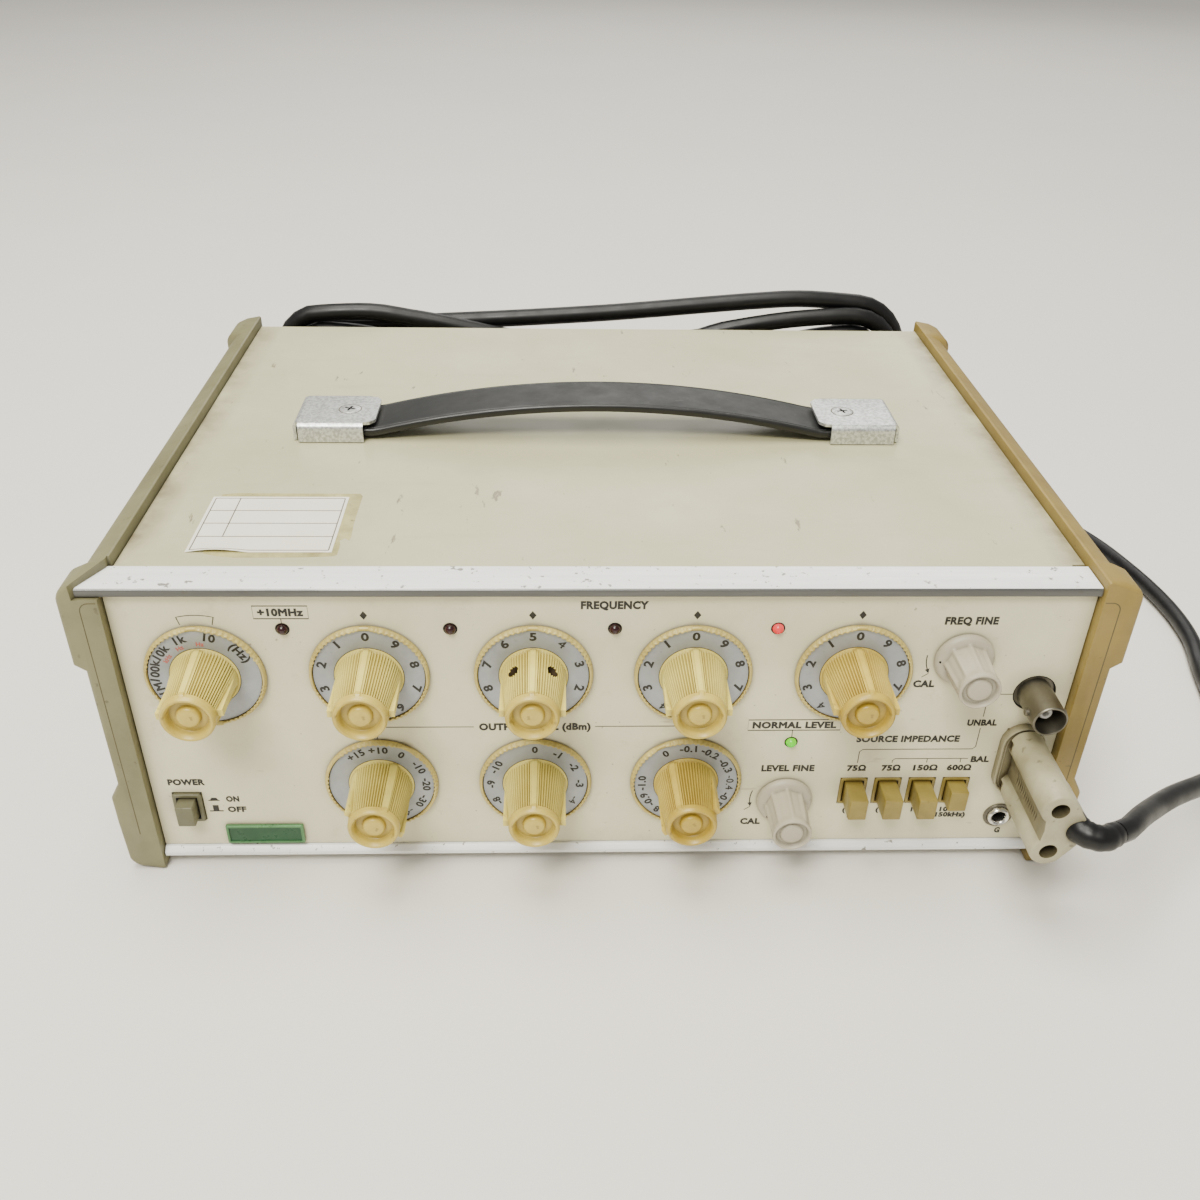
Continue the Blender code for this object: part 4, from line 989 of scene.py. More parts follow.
def make_cords():
    mains = cord_curve("mains_cord", mains_route(), MAINS_RADIUS, 5.0)
    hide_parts("mains_lead_exit", "mains_winding", "mains_lead_tail")
    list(make_mains_plug())
    make_strain_relief()
    test = cord_curve("test_cord", test_route(), TEST_RADIUS, 4.5)
    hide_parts("test_lead", "test_lead_coil")
    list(make_test_plugs())
    make_coil_tie()


make_cords()


# ---- big knobs

RIM_FRONT = 20.0
WING_FRONT = 17.3
WING_REACH = 8.75
WING_HALF = 1.15
RIB_HALF = 6.0
RIB_HEIGHT = 0.42
FLUTE_PITCH = 5.625
FLUTE_DEPTH = 0.42
FLUTE_RANGE = (9.0, 76.5)
BODY_BASE = 1.4
BODY_RADII = (8.95, 7.2)
SCREW_ANGLE = 40.0
SCREW_HOLE = 1.7
HOLE_AHEAD = 7.4
AMBER_DIALS = ("freq_4", "level_3")
RING_WEIGHT = 0.038
THIN_WEIGHT = 0.012
MARKS_AHEAD = 1.14
# Radius, cap height and stretch of the marks on a dial
RANGE_PRINT = (13.2, 2.3, 1.05)
RED_PRINT = (10.9, 1.2, 1.0)
LEVEL_PRINT = (12.9, 2.1, 1.08)
DIGIT_PRINT = (13.15, 2.35, 1.2)


def body_radius(ahead):
    """The grip tapers from its base to its rim."""
    share = (ahead - BODY_BASE) / (RIM_FRONT - 1.4 - BODY_BASE)
    return BODY_RADII[0] + (BODY_RADII[1] - BODY_RADII[0]) * min(max(share, 0.0), 1.0)


def grip_shape(angle, radius, ahead):
    """Two pointer ribs, two grip wings and fine flutes between them."""
    if not BODY_BASE <= ahead <= RIM_FRONT - 1.3 or radius < 7.0:
        return radius
    degrees = math.degrees(angle) % 180.0
    from_rib = min(degrees, 180.0 - degrees)
    from_wing = abs(degrees - 90.0)
    across = math.radians(from_wing)
    if ahead <= WING_FRONT and from_wing < 45.0 and WING_REACH * math.sin(across) <= WING_HALF:
        return max(radius, WING_REACH / max(math.cos(across), 0.9))
    if from_rib < RIB_HALF:
        return radius + RIB_HEIGHT * min(1.0, (RIB_HALF - from_rib) / 1.5)
    low, high = FLUTE_RANGE
    if low < from_rib < high and BODY_BASE < ahead < RIM_FRONT - 2.2:
        wave = math.cos(2 * math.pi * (from_rib - low) / FLUTE_PITCH)
        return radius - FLUTE_DEPTH * (0.5 + 0.5 * wave)
    return radius


def knob_profile():
    """The recessed cap, the rim, the tapered grip, the plate's seat, the skirt's ring and the flat back."""
    cap = [
        (0.0, 19.1), (2.3, 19.15), (2.75, 19.0), (3.1, 18.5), (3.15, 18.0), (3.3, 17.6), (5.05, 17.6),
        (5.3, 17.9), (5.4, 18.6), (5.65, 19.4), (6.1, 19.9), (6.6, 19.95), (7.0, 19.6), (7.2, 19.0),
    ]
    rows = (18.6, 18.0, 17.6, WING_FRONT + 0.1, WING_FRONT, 13.7, 10.3, 4.9, 3.0, 1.8, BODY_BASE)
    skirt = [
        (9.3, 1.25), (9.4, 1.15), (9.4, 0.75), (15.25, 0.75), (15.25, 1.35), (15.45, 1.75), (15.8, 1.8),
        (16.15, 1.45), (16.3, 0.8), (16.3, 0.42), (8.0, 0.42), (3.3, 0.42), (3.3, 2.0), (0.0, 2.0),
    ]
    return cap + [(body_radius(ahead), ahead) for ahead in rows] + skirt


def knob_mesh():
    """The whole knob with two set-screw holes. Its slots are the grip, the holes, the ring and the cap."""
    work = bmesh.new()
    lathe(work, knob_profile(), 320, grip_shape)
    drills = []
    for side in (-1, 1):
        angle = math.radians(180.0 + side * SCREW_ANGLE)
        outward = Vector((math.sin(angle), math.cos(angle), 0.0))
        turn = outward.to_track_quat("Z", "Y").to_matrix().to_4x4()
        drill = bmesh.new()
        lathe(drill, [(0.0, 3.0), (SCREW_HOLE, 3.0), (SCREW_HOLE, -3.0), (0.0, -3.0)], 30)
        drill.transform(Matrix.Translation((outward * 8.4 + Vector((0.0, 0.0, HOLE_AHEAD))) * MM) @ turn)
        drills.append(drill)
    work = carve(work, drills)
    for face in work.faces:
        place = face.calc_center_median() / MM
        off_axis = math.hypot(place.x, place.y)
        # The holes' walls take the dark finish: painted shade.
        if HOLE_AHEAD - 1.9 < place.z < HOLE_AHEAD + 2.0 and off_axis < 7.6:
            face.material_index = 1
        elif off_axis > 15.2:
            face.material_index = 2
        # The rim and cap, facing forward, take the darker copy of the knob's colour: painted shade.
        elif place.z > WING_FRONT + 0.2:
            face.material_index = 3
    return finished_mesh("big_knob", work, ["knob", "well", "knob_ring", "knob_cap_painted_shade"], 38.0)


def dial_plate(name, matrix, body):
    """The satin disc that carries the numbers, with a fine dark joint at both rims."""
    work = bmesh.new()
    disc = [(9.75, 1.12), (15.0, 1.12), (15.1, 1.05), (15.1, 0.8), (9.55, 0.8), (9.55, 1.05)]
    lathe(work, disc, 96, closed=True)
    for inner, outer, top in ((15.05, 15.24, 0.9), (9.42, 9.6, 0.92)):
        lathe(work, [(inner, top), (outer, top), (outer, 0.76), (inner, 0.76)], 96, closed=True, material=1)
    piece(name, work, ["dial_plate", "hollow"], matrix, body=body)


def ring_label(work, text, angle, radius, cap, stretch, material=0):
    """A label on a dial, its foot towards the middle."""
    outward = Matrix.Translation((0.0, radius * MM, MARKS_AHEAD * MM))
    spot = Matrix.Rotation(-math.radians(angle), 4, "Z") @ outward
    weight = THIN_WEIGHT if "4" in text else RING_WEIGHT
    lettering(work, text, spot, cap, stretch=stretch, weight=weight, material=material)


def dial_marks(name, matrix, body):
    work = bmesh.new()
    if name == "range":
        for text, angle in RANGE_MARKS.items():
            ring_label(work, text, angle, *RANGE_PRINT)
        for text, angle in RED_MARKS:
            ring_label(work, text, angle, *RED_PRINT, material=1)
    elif name in LEVEL_MARKS:
        start, labels = LEVEL_MARKS[name]
        for number, text in enumerate(labels):
            ring_label(work, text, start + LEVEL_STEP * number, *LEVEL_PRINT)
    else:
        for digit in range(10):
            ring_label(work, str(digit), KNOB_SPIN.get(name, 0.0) - DIGIT_STEP * digit, *DIGIT_PRINT)
    piece(f"marks_{name}", work, ["ink", "red_ink"], matrix, body=body)


def make_dials():
    mesh = knob_mesh()
    amber_mesh = mesh.copy()
    amber_mesh.name = "amber_knob"
    amber_mesh.materials[0] = M["amber"]
    amber_mesh.materials[3] = M["amber_cap_painted_shade"]
    for name in DIALS:
        x, height = middle(f"shaft_{name}")
        body = f"dial_{name}"
        spot = facing(x, height, spin=KNOB_SPIN.get(name, 0.0))
        knob = placed(f"big_knob_{name}", amber_mesh if name in AMBER_DIALS else mesh, body, spot)
        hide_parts(f"knob_{name}")
        dial_plate(f"dial_plate_{name}", spot, body)
        dial_marks(name, facing(x, height), body)


make_dials()


# ---- small knobs

FINE_FLAT = 0.65
FLATS_FRONT = 14.2
FINE_DOTS = {"freq_fine": -89.0, "level_fine": -138.0}


def fine_shape(angle, radius, ahead):
    """Eight broad flats between narrow ridges."""
    if not 2.8 <= ahead <= FLATS_FRONT or radius < 5.0:
        return radius
    ridge = abs(math.cos(4 * angle)) ** 7
    return radius - FINE_FLAT * (1.0 - ridge) * min(1.0, (FLATS_FRONT - ahead) / 1.2)


def make_fine_knob(name, dot_angle):
    x, height = middle(f"shaft_{name}")
    spot = facing(x, height)
    body = f"dial_{name}"
    profile = [
        (0.0, 15.2), (2.6, 15.25), (3.05, 15.1), (3.3, 14.8), (3.4, 14.5), (3.6, 14.35), (4.4, 14.35),
        (4.6, 14.6), (4.7, 15.1), (4.95, 15.5), (5.3, 15.55), (5.6, 15.3), (5.7, 14.7), (5.72, 14.2),
        (5.75, 13.6), (5.85, 12.0), (6.0, 9.0), (6.15, 6.0), (6.3, 3.6), (6.35, 2.8), (6.6, 2.4),
        (7.3, 2.2), (7.9, 1.8), (8.2, 1.1), (8.25, 0.5), (5.0, 0.5), (2.2, 0.5), (2.2, 3.0), (0.0, 3.0),
    ]
    work = bmesh.new()
    lathe(work, profile, 160, fine_shape)
    knob = piece(f"fine_knob_{name}", work, "small_knob", spot, 35.0, body)
    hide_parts(f"knob_{name}")
    across, up = polar(6.95 * MM, 90.0 - dot_angle)
    dot = bmesh.new()
    lathe(dot, [(0.0, 2.35), (0.4, 2.3), (0.5, 2.1), (0.5, 1.4), (0.0, 1.4)], 20)
    dot.transform(Matrix.Translation((across, up, 0.0)))
    piece(f"pointer_dot_{name}", dot, "hollow", spot, body=body)


for fine_name, fine_angle in FINE_DOTS.items():
    make_fine_knob(fine_name, fine_angle)


# ---- screws


def screw_head(work, radius, flush=0.0):
    """A cross-recess screw head, its axis along local Z, standing on the surface at Z 0."""
    top = 0.5 * radius * (1.0 - flush) + 0.12
    lathe(work, [
        (0.0, top), (radius * 0.35, top), (radius * 0.75, top * 0.86), (radius * 0.96, top * 0.45),
        (radius, 0.05), (radius, -0.3), (0.0, -0.3),
    ], 36)
    long, short = around(0.0, radius * 0.52), around(0.0, radius * 0.11)
    # The cross is a thin near-black mark on the head: painted shade for its recess.
    for arm in (box_outline(long, short), box_outline(short, long)):
        prism(work, arm, (top - 0.1, top + 0.02), "local", 1)


def add_screw(name, radius, matrix, finish, flush=0.0):
    work = bmesh.new()
    screw_head(work, radius, flush)
    piece(name, work, [finish, "hollow"], matrix)


# ---- side frames

LOWER_STEP = 27.6
UPPER_STEP = 75.4
BAR_FLOOR = 96.1
SIDE_SCREWS = ((28.0, 50.0), (162.0, 50.0))
NOTCH_START = (-1.6, 136.9)
NOTCH_END = (10.2, 131.1)
ROUNDED_EDGE = ((0.0, 1.25), (0.3, 0.6), (0.8, 0.2), (1.6, 0.0))


def frame_top(x, outer):
    """Height of the frame's sloping top at x."""
    shoulder = outer - SHOULDER
    if x > shoulder:
        return 100.9 - (x - shoulder) * 0.42
    return RAIL_TOP - 0.6 * max(0.0, x - INNER_HALF - 0.7) / (shoulder - INNER_HALF - 0.7)


def notch_reach(depth):
    """How far out the left frame is cut away for the top bar's end, which narrows backwards."""
    share = (depth - NOTCH_START[0]) / (NOTCH_END[0] - NOTCH_START[0])
    return NOTCH_START[1] + (NOTCH_END[1] - NOTCH_START[1]) * max(share, -0.12)


def frame_outline(flare, notch):
    """Section of the right-hand side frame: flare 0 along the rail, 1 at the end bezels."""
    outer = RAIL_HALF + (FLARE_HALF - RAIL_HALF) * flare
    inner = RECESS_HALF + (RAIL_HALF - RECESS_HALF) * flare
    wall = max(notch, INNER_HALF + 0.7)
    shoulder = max(outer - SHOULDER, wall + 0.5)
    foot = arc(outer - 5.4, 5.2, 5.2, -90.0, -18.0, 5)
    return [
        (INNER_HALF, 0.2), (INNER_HALF + 1.2, 0.0), *foot, (outer, 12.0 + 6.0 * flare), (outer, LOWER_STEP),
        (inner, 30.0 + 2.9 * flare), (inner, 71.2 + 2.2 * flare), (outer, UPPER_STEP),
        *arc(outer - 4.6, 95.4, 4.6, 0.0, 62.0, 5), (shoulder, frame_top(shoulder, outer)),
        (wall, frame_top(wall, outer)), (wall, BAR_FLOOR) if notch else (INNER_HALF + 0.2, RAIL_TOP - 0.25),
        (INNER_HALF, BAR_FLOOR if notch else RAIL_TOP - 0.8),
    ]


def frame_sections(notched):
    """Outlines from the front bezel's rounded edge to the rear one's."""
    rows = [(FRAME_FRONT + step, 1.0, rounding) for step, rounding in ROUNDED_EDGE]
    rows += [(depth, flare, 0.0) for depth, flare in (
        (7.4, 1.0), (8.7, 0.45), (9.4, 0.0), (10.1, 0.0), (10.3, 0.0), (60.0, 0.0), (120.0, 0.0),
        (179.6, 0.0), (180.3, 0.45), (181.6, 1.0),
    )]
    rows += [(FRAME_BACK - step, 1.0, rounding) for step, rounding in reversed(ROUNDED_EDGE)]
    sections = []
    for depth, flare, rounding in rows:
        notch = notch_reach(depth) if notched and depth < NOTCH_END[0] else 0.0
        outline = frame_outline(flare, notch)
        shares = [0.15 if x < INNER_HALF + 1.3 else 1.0 for x, z in outline]
        if notch:
            shares[-4:] = [0.4, 0.15, 0.0, 0.0]
        sections.append((depth, inset(outline, rounding, shares)))
    return sections


def make_side_frame(side, word):
    work = bmesh.new()
    loft(work, [(depth, [(side * x, z) for x, z in outline]) for depth, outline in frame_sections(side < 0)])
    made = piece(f"side_casting_{word}", work, f"case_{word}", sharp=28.0)
    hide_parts(f"side_frame_{word}")
    seam = bmesh.new()
    line = [(131.6, 95.2), (133.6, 95.2), *arc(133.6, 92.7, 2.5, 90.0, 0.0, 5), (136.1, 60.0), (136.1, 14.0)]
    ribbon(seam, [(side * x, z) for x, z in line], 0.28, -FRAME_FRONT, 0.03)
    piece(f"casting_seam_{word}", seam, "seam")
    for number, (depth, height) in enumerate(SIDE_SCREWS):
        spot = turned_to((side * RECESS_HALF, depth, height), side * 90.0, "Y")
        add_screw(f"side_screw_{word}_{number}", 3.2, spot, "steel")


for frame_side, frame_word in SIDES:
    make_side_frame(frame_side, frame_word)


# ---- trim bars


def make_bar(node, name, foot, shoulder, finish):
    """A bar along the panel's edge: a small bevel at its foot, a rounded one at its front shoulder."""
    x, (front, back), (bottom, top) = node_box(node)
    outline = [(front, bottom + foot), (front + foot, bottom), (back, bottom), (back, top)]
    outline += [(front + step, top - drop) for step, drop in shoulder]
    work = bmesh.new()
    for face in prism(work, outline, x, "yz"):
        # Front faces take the last, darker finish: painted shade.
        if face.normal.y < -0.6:
            face.material_index = len(finish) - 1
    bar = piece(name, work, finish, sharp=25.0)
    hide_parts(node)


TOP_SHOULDER = ((0.9, 0.0), (0.45, 0.12), (0.12, 0.45), (0.0, 0.9))
FOOT_SHOULDER = ((1.6, 0.0), (1.3, 0.1), (0.2, 1.2), (0.0, 1.5))
make_bar("top_trim", "top_bar", 0.2, TOP_SHOULDER, ["trim", "trim_front_painted_shade"])
make_bar("bottom_trim", "foot_bar", 0.3, FOOT_SHOULDER, ["trim"])


# ---- printed panel

PRINT = 0.04
PRINT_SPAN = (-PRINT, 0.02)
IMPEDANCES = ((74.3, "75Ω", 5.6), (84.5, "75Ω", 5.6), (94.7, "150Ω", 7.2), (104.7, "600Ω", 7.2))
# Text, its middle, cap height and width
WORDS = (
    ("FREQUENCY", 2.0, 92.6, 2.2, 18.0), ("OUTPUT LEVEL (dBm)", -19.6, 51.5, 2.2, 31.5),
    ("FREQ FINE", 98.4, 87.5, 2.2, 14.6), ("LEVEL FINE", 54.1, 35.5, 2.1, 15.6),
    ("CAL", 88.9, 66.3, 2.1, 6.0), ("CAL", 44.8, 14.5, 2.1, 6.0), ("POWER", -120.6, 31.4, 2.0, 10.6),
    ("ON", -108.3, 24.8, 1.9, 3.8), ("OFF", -107.6, 20.7, 1.9, 5.4),
    ("SOURCE IMPEDANCE", 87.8, 46.4, 2.1, 30.0), ("UNBAL", 108.2, 52.3, 2.0, 8.6),
    ("BAL", 110.3, 38.6, 2.0, 5.4), ("G", 121.2, 10.1, 1.9, 1.7), ("(10k", 75.0, 18.9, 1.6, 5.4),
    ("20M)", 76.6, 16.7, 1.6, 5.2), ("(10k", 85.1, 18.9, 1.6, 5.4), ("10k", 95.1, 18.9, 1.6, 4.05),
    ("100", 103.9, 18.9, 1.6, 4.05), ("150kHz)", 105.5, 16.7, 1.6, 9.1),
)
BOXED_WORDS = (
    ("+10MHz", (-93.1, -78.7), (88.4, 92.4), 12.0), ("NORMAL LEVEL", (41.0, 67.5), (49.8, 53.6), 24.0),
)
LINES = (
    [(-86.0, 88.4), (-86.0, 86.9)],
    [(53.9, 49.8), (53.9, 47.3)],
    [(-36.8, 51.5), (-64.2, 51.5), (-64.2, 47.4)],
    [(-2.6, 51.5), (24.3, 51.5), (24.3, 47.4)],
    [(-19.7, 49.6), (-19.7, 47.4)],
    [(74.3, 37.4), (74.3, 41.6), (75.2, 42.5), (107.2, 42.5), (108.05, 43.4), (108.05, 50.3)],
    [(108.05, 54.5), (108.05, 62.5), (114.8, 62.5)],
    [(84.5, 37.4), (84.5, 38.2), (85.2, 38.9), (106.7, 38.9)],
    [(94.7, 38.9), (94.7, 37.4)],
    [(104.6, 38.9), (104.6, 37.4)],
)
KEY_OUT = [(-115.6, 24.1), (-112.0, 24.1), (-112.6, 24.6), (-113.0, 25.3), (-114.4, 25.3), (-114.8, 24.6)]
KEY_IN = [(-115.6, 19.9), (-111.6, 19.9), (-111.6, 20.3), (-112.8, 20.3), (-112.8, 22.4), (-114.5, 22.4),
          (-114.5, 20.3), (-115.6, 20.3)]
CAL_ARROWS = {"freq_fine": (175.0, 202.0), "level_fine": (161.0, 188.0)}
CAL_RADIUS = 10.2
ARROW_LENGTH = 1.6
ARROW_HALF = 0.65
WINDOW_HALF = 14.5
WINDOW_RADII = (16.9, 19.4)
IMPEDANCE_HEIGHT = 35.4
# Steps from a dial's middle, and heights
DIAMOND = ((-1.0, 89.4), (0.0, 88.05), (1.0, 89.4), (0.0, 90.75))


def legend(work, text, x, z, cap, width):
    lettering(work, text, facing(x, z, -PRINT), cap, width)


def cal_arrow(work, node, begin, end):
    """A curved arrow beside a small knob, turning to its calibrated stop."""
    cx, cz = middle(node)
    points = arc(cx, cz, CAL_RADIUS, begin, end)
    ribbon(work, points, 0.3)
    ex, ez = points[-1]
    ahead_x, ahead_z = polar(1.0, end + 90.0)
    tip = (ex + ahead_x * ARROW_LENGTH, ez + ahead_z * ARROW_LENGTH)
    half_x, half_z = -ahead_z * ARROW_HALF, ahead_x * ARROW_HALF
    prism(work, [(ex + half_x, ez + half_z), tip, (ex - half_x, ez - half_z)], PRINT_SPAN)
    ribbon(work, [tip, (tip[0] - 1.7, tip[1] - 1.3)], 0.2)


def make_legends():
    """Everything printed on the panel, one closed mesh of thin letters and lines."""
    work = bmesh.new()
    for word in WORDS:
        legend(work, *word)
    for text, x, z, width in BOXED_WORDS:
        ribbon(work, box_outline(x, z), closed=True)
        legend(work, text, sum(x) / 2, sum(z) / 2, 2.1, width)
    for x, text, width in IMPEDANCES:
        legend(work, text, x, IMPEDANCE_HEIGHT, 1.9, width)
    for line in LINES:
        ribbon(work, line)
    for outline in (KEY_OUT, KEY_IN):
        prism(work, outline, PRINT_SPAN)
    for number in range(1, 5):
        x = middle(f"shaft_freq_{number}")[0]
        prism(work, [(x + step, z) for step, z in DIAMOND], PRINT_SPAN)
    for name, (begin, end) in CAL_ARROWS.items():
        cal_arrow(work, f"shaft_{name}", begin, end)
    x, z = middle("shaft_range")
    foot_x, foot_z = polar(WINDOW_RADII[0], 90.0 - WINDOW_HALF)
    window = arc(x, z, WINDOW_RADII[1], 90.0 + WINDOW_HALF, 90.0 - WINDOW_HALF, 8)
    ribbon(work, [(x - foot_x, z + foot_z), *window, (x + foot_x, z + foot_z)])
    piece("panel_legends", work, "ink")


make_legends()


# ---- lamps, buttons and rims

LAMPS = {
    "lamp_range": (-86.0, 85.1, "lamp_off"), "lamp_2": (-41.7, 85.1, "lamp_off"),
    "lamp_3": (2.2, 85.1, "lamp_off"), "lamp_4": (46.1, 85.1, "lamp_red"),
    "lamp_level": (53.9, 45.4, "lamp_green"),
}
DOME = [(0.0, 1.62), (0.5, 1.56), (0.95, 1.3), (1.3, 0.9), (1.53, 0.35), (1.55, -1.0), (0.0, -1.0)]
LAMP_GAP = [(1.6, 0.05), (1.92, 0.05), (1.95, -1.0), (1.6, -1.0)]
KEY_LENGTH = 11.6
KEY_STEM = 1.45
STEM_BACK = 23.0
# Half sizes, wall, depths of front and back, and corner radius of the rims round the keys
KEY_RIM = ((3.95, 4.95), 0.85, (-0.25, 4.0), 0.9)
KEY_WELL = ((3.1, 4.1), 0.22, (0.9, 11.0), 0.3)
POWER_RIM = ((4.15, 5.25), 1.05, (-1.1, 4.0), 0.7)
POWER_WELL = ((3.12, 4.22), 0.3, (-0.3, 9.0), 0.3)


def make_lamps():
    for name, (x, height, finish) in LAMPS.items():
        turned(name, DOME, finish, facing(x, height), 32)
        turned(f"{name}_gap", LAMP_GAP, "hollow", facing(x, height), 32, closed=True)


def hollow_frame(work, x, z, wall, span, radius):
    """A rectangular rim with round outer corners and a softened front edge."""
    outer = rounded(x, z, radius)
    inner = rounded((x[0] + wall, x[1] - wall), (z[0] + wall, z[1] - wall), max(radius - wall, 0.15))
    front, back = span
    lip = shrunk(outer, x, z, 0.2)
    loft(work, [(back, outer), (front + 0.2, outer), (front, lip), (front, inner), (back, inner)], True)


def shrunk(loop, x, z, amount):
    """The loop made smaller towards the middle of its box."""
    cx, cz = sum(x) / 2, sum(z) / 2
    kx = 1.0 - 2 * amount / (x[1] - x[0])
    kz = 1.0 - 2 * amount / (z[1] - z[0])
    return [(cx + (a - cx) * kx, cz + (b - cz) * kz) for a, b in loop]


def add_rim(name, place, half, wall, span, radius, finish, slot, sharp=32.0):
    """A hollow frame as a piece: place and half are (x, height)."""
    work = bmesh.new()
    hollow_frame(work, around(place[0], half[0]), around(place[1], half[1]), wall, span, radius)
    piece(name, work, finish, sharp=sharp)


def make_button(node, body, finish):
    """A push button's cap on its stem."""
    x, (front, _), z = node_box(node)
    work = bmesh.new()
    prism(work, box_outline(x, z), (front, front + KEY_LENGTH))
    soften(work, 0.35, 3)
    stem = box_outline(around(sum(x) / 2, KEY_STEM), around(sum(z) / 2, KEY_STEM))
    prism(work, stem, (front + KEY_LENGTH - 0.5, STEM_BACK))
    made = piece(f"cap_{node}", work, finish, sharp=30.0, body=body)
    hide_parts(node)


def make_buttons():
    for number in range(1, 5):
        node = f"impedance_button_{number}"
        place = middle(node)
        make_button(node, f"impedance_key_{number}", "button")
        add_rim(f"button_rim_{number}", place, *KEY_RIM, "button", "button", 30.0)
        add_rim(f"button_well_{number}", place, *KEY_WELL, "grey_plastic", "button")
    place = middle("power_button")
    finish = "power_button"
    make_button("power_button", "power_key", finish)
    add_rim("power_rim", place, *POWER_RIM, finish, finish, 30.0)
    add_rim("power_well", place, *POWER_WELL, finish, finish)


make_lamps()
make_buttons()


# ---- carrying strap

STRAP_FRONT = 88.2
STRAP_BACK = 108.4
STRAP_TOP = 110.9
STRAP_END_TOP = 102.1
STRAP_THICK = 2.6
STRAP_END = 90.0
STRAP_STEPS = 72
BRACKET_INNER = 71.8
BRACKET_OUTER = 98.0
BRACKET_FRONT = 86.2
BRACKET_BACK = 110.4
BRACKET_FOOT = 98.5
BRACKET_TOP = 104.7
FLANGE_START = 75.5
SHEET = 1.0
BEND = 1.8
STRAP_SCREW = (81.0, 98.3)
SCREW_SPIN = 17.0
STRAP_GAP = [(3.45, 0.04), (3.75, 0.04), (3.75, -0.2), (3.45, -0.2)]


def strap_height(x):
    """Upper face of the strap: an arch between the brackets, flat inside them."""
    reach = min(abs(x) / BRACKET_INNER, 1.0)
    return STRAP_END_TOP + (STRAP_TOP - STRAP_END_TOP) * (1.0 - reach * reach)


def make_strap():
    """A moulded band with rounded edges and a fine groove along each side of its face."""
    front, back, thick = STRAP_FRONT, STRAP_BACK, STRAP_THICK
    half = [(0.0, -thick / 2), (0.0, -0.75), (0.12, -0.4), (0.4, -0.12), (0.75, 0.0), (1.1, 0.0),
            (1.25, -0.16), (1.5, -0.16), (1.65, 0.0), (3.0, 0.02)]
    under = [(3.0, -thick), (0.8, -thick), (0.2, -thick + 0.3), (0.0, -thick + 0.8)]
    section = [(front + a, z) for a, z in half] + [(back - a, z) for a, z in reversed(half)]
    section += [(back - a, z) for a, z in reversed(under)] + [(front + a, z) for a, z in under]
    work = bmesh.new()
    rings = []
    for i in range(STRAP_STEPS + 1):
        x = STRAP_END * (2 * i / STRAP_STEPS - 1)
        rings.append([work.verts.new(at(x, depth, strap_height(x) + dz)) for depth, dz in section])
    face_strips = range(3, 2 * len(half) - 4)
    for number, face in enumerate(skin(work, rings)[:-2]):
        face.material_index = 0 if number % len(section) in face_strips else 1
    strap = piece("carrying_strap", work, ["strap", "strap_edge"], sharp=35.0)
    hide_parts("handle_strap")


def folded_channel():
    """Section of a bracket along the strap: a front flange, the top and a back flange (depth, height)."""
    front, back, top = BRACKET_FRONT, BRACKET_BACK, BRACKET_TOP
    bend_z = top - BEND
    outside = [(front, BRACKET_FOOT), *arc(front + BEND, bend_z, BEND, 180.0, 90.0, 5),
               *arc(back - BEND, bend_z, BEND, 90.0, 0.0, 5), (back, BRACKET_FOOT)]
    inside = [(back - SHEET, BRACKET_FOOT), *arc(back - BEND, bend_z, BEND - SHEET, 0.0, 90.0, 4),
              *arc(front + BEND, bend_z, BEND - SHEET, 90.0, 180.0, 4), (front + SHEET, BRACKET_FOOT)]
    return outside + inside


def make_bracket(side, word):
    """A sheet cap over the strap's end, folded on three sides, its tongue's corners cut away."""
    work = bmesh.new()
    prism(work, folded_channel(), (side * FLANGE_START, side * (BRACKET_OUTER - BEND)), "yz")
    cut = [(FLANGE_START, BEND), (FLANGE_START - 1.9, BEND + 0.3), (BRACKET_INNER + 0.3, 3.8),
           (BRACKET_INNER, 4.6)]
    tongue = [(side * x, BRACKET_FRONT + step) for x, step in cut]
    tongue += [(side * x, BRACKET_BACK - step) for x, step in reversed(cut)]
    prism(work, tongue, (BRACKET_TOP - SHEET, BRACKET_TOP), "xy")
    edge, top = BRACKET_OUTER, BRACKET_TOP
    fold = [(edge - BEND, top), *arc(edge - BEND, top - BEND, BEND, 90.0, 0.0, 5), (edge, BRACKET_FOOT),
            (edge - SHEET, BRACKET_FOOT), *arc(edge - BEND, top - BEND, BEND - SHEET, 0.0, 90.0, 4)]
    prism(work, [(side * x, z) for x, z in fold], (BRACKET_FRONT + BEND, BRACKET_BACK - BEND))
    bracket = piece(f"strap_bracket_{word}", work, "zinc")
    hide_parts(f"handle_bracket_{word}")
    x, depth = STRAP_SCREW
    spot = turned_to((side * x, depth, BRACKET_TOP), side * SCREW_SPIN, "Z")
    add_screw(f"strap_screw_{word}", 3.45, spot, "zinc", 0.9)
    turned(f"strap_screw_gap_{word}", STRAP_GAP, "seam", spot, closed=True)


make_strap()
for bracket_side, bracket_word in SIDES:
    make_bracket(bracket_side, bracket_word)


# ---- label on the cover

LABEL_X = (-114.0, -74.5)
LABEL_DEPTH = (17.5, 49.3)
LABEL_MARGIN = 1.0
LABEL_ROWS = 4
LABEL_COLUMN = 0.19
LABEL_GRID = (30, 20)
RULE_HALF = 0.16
LIFT_HEIGHT = 0.9
LIFT_DEPTH = 6.0
LIFT_SHARE = 0.42
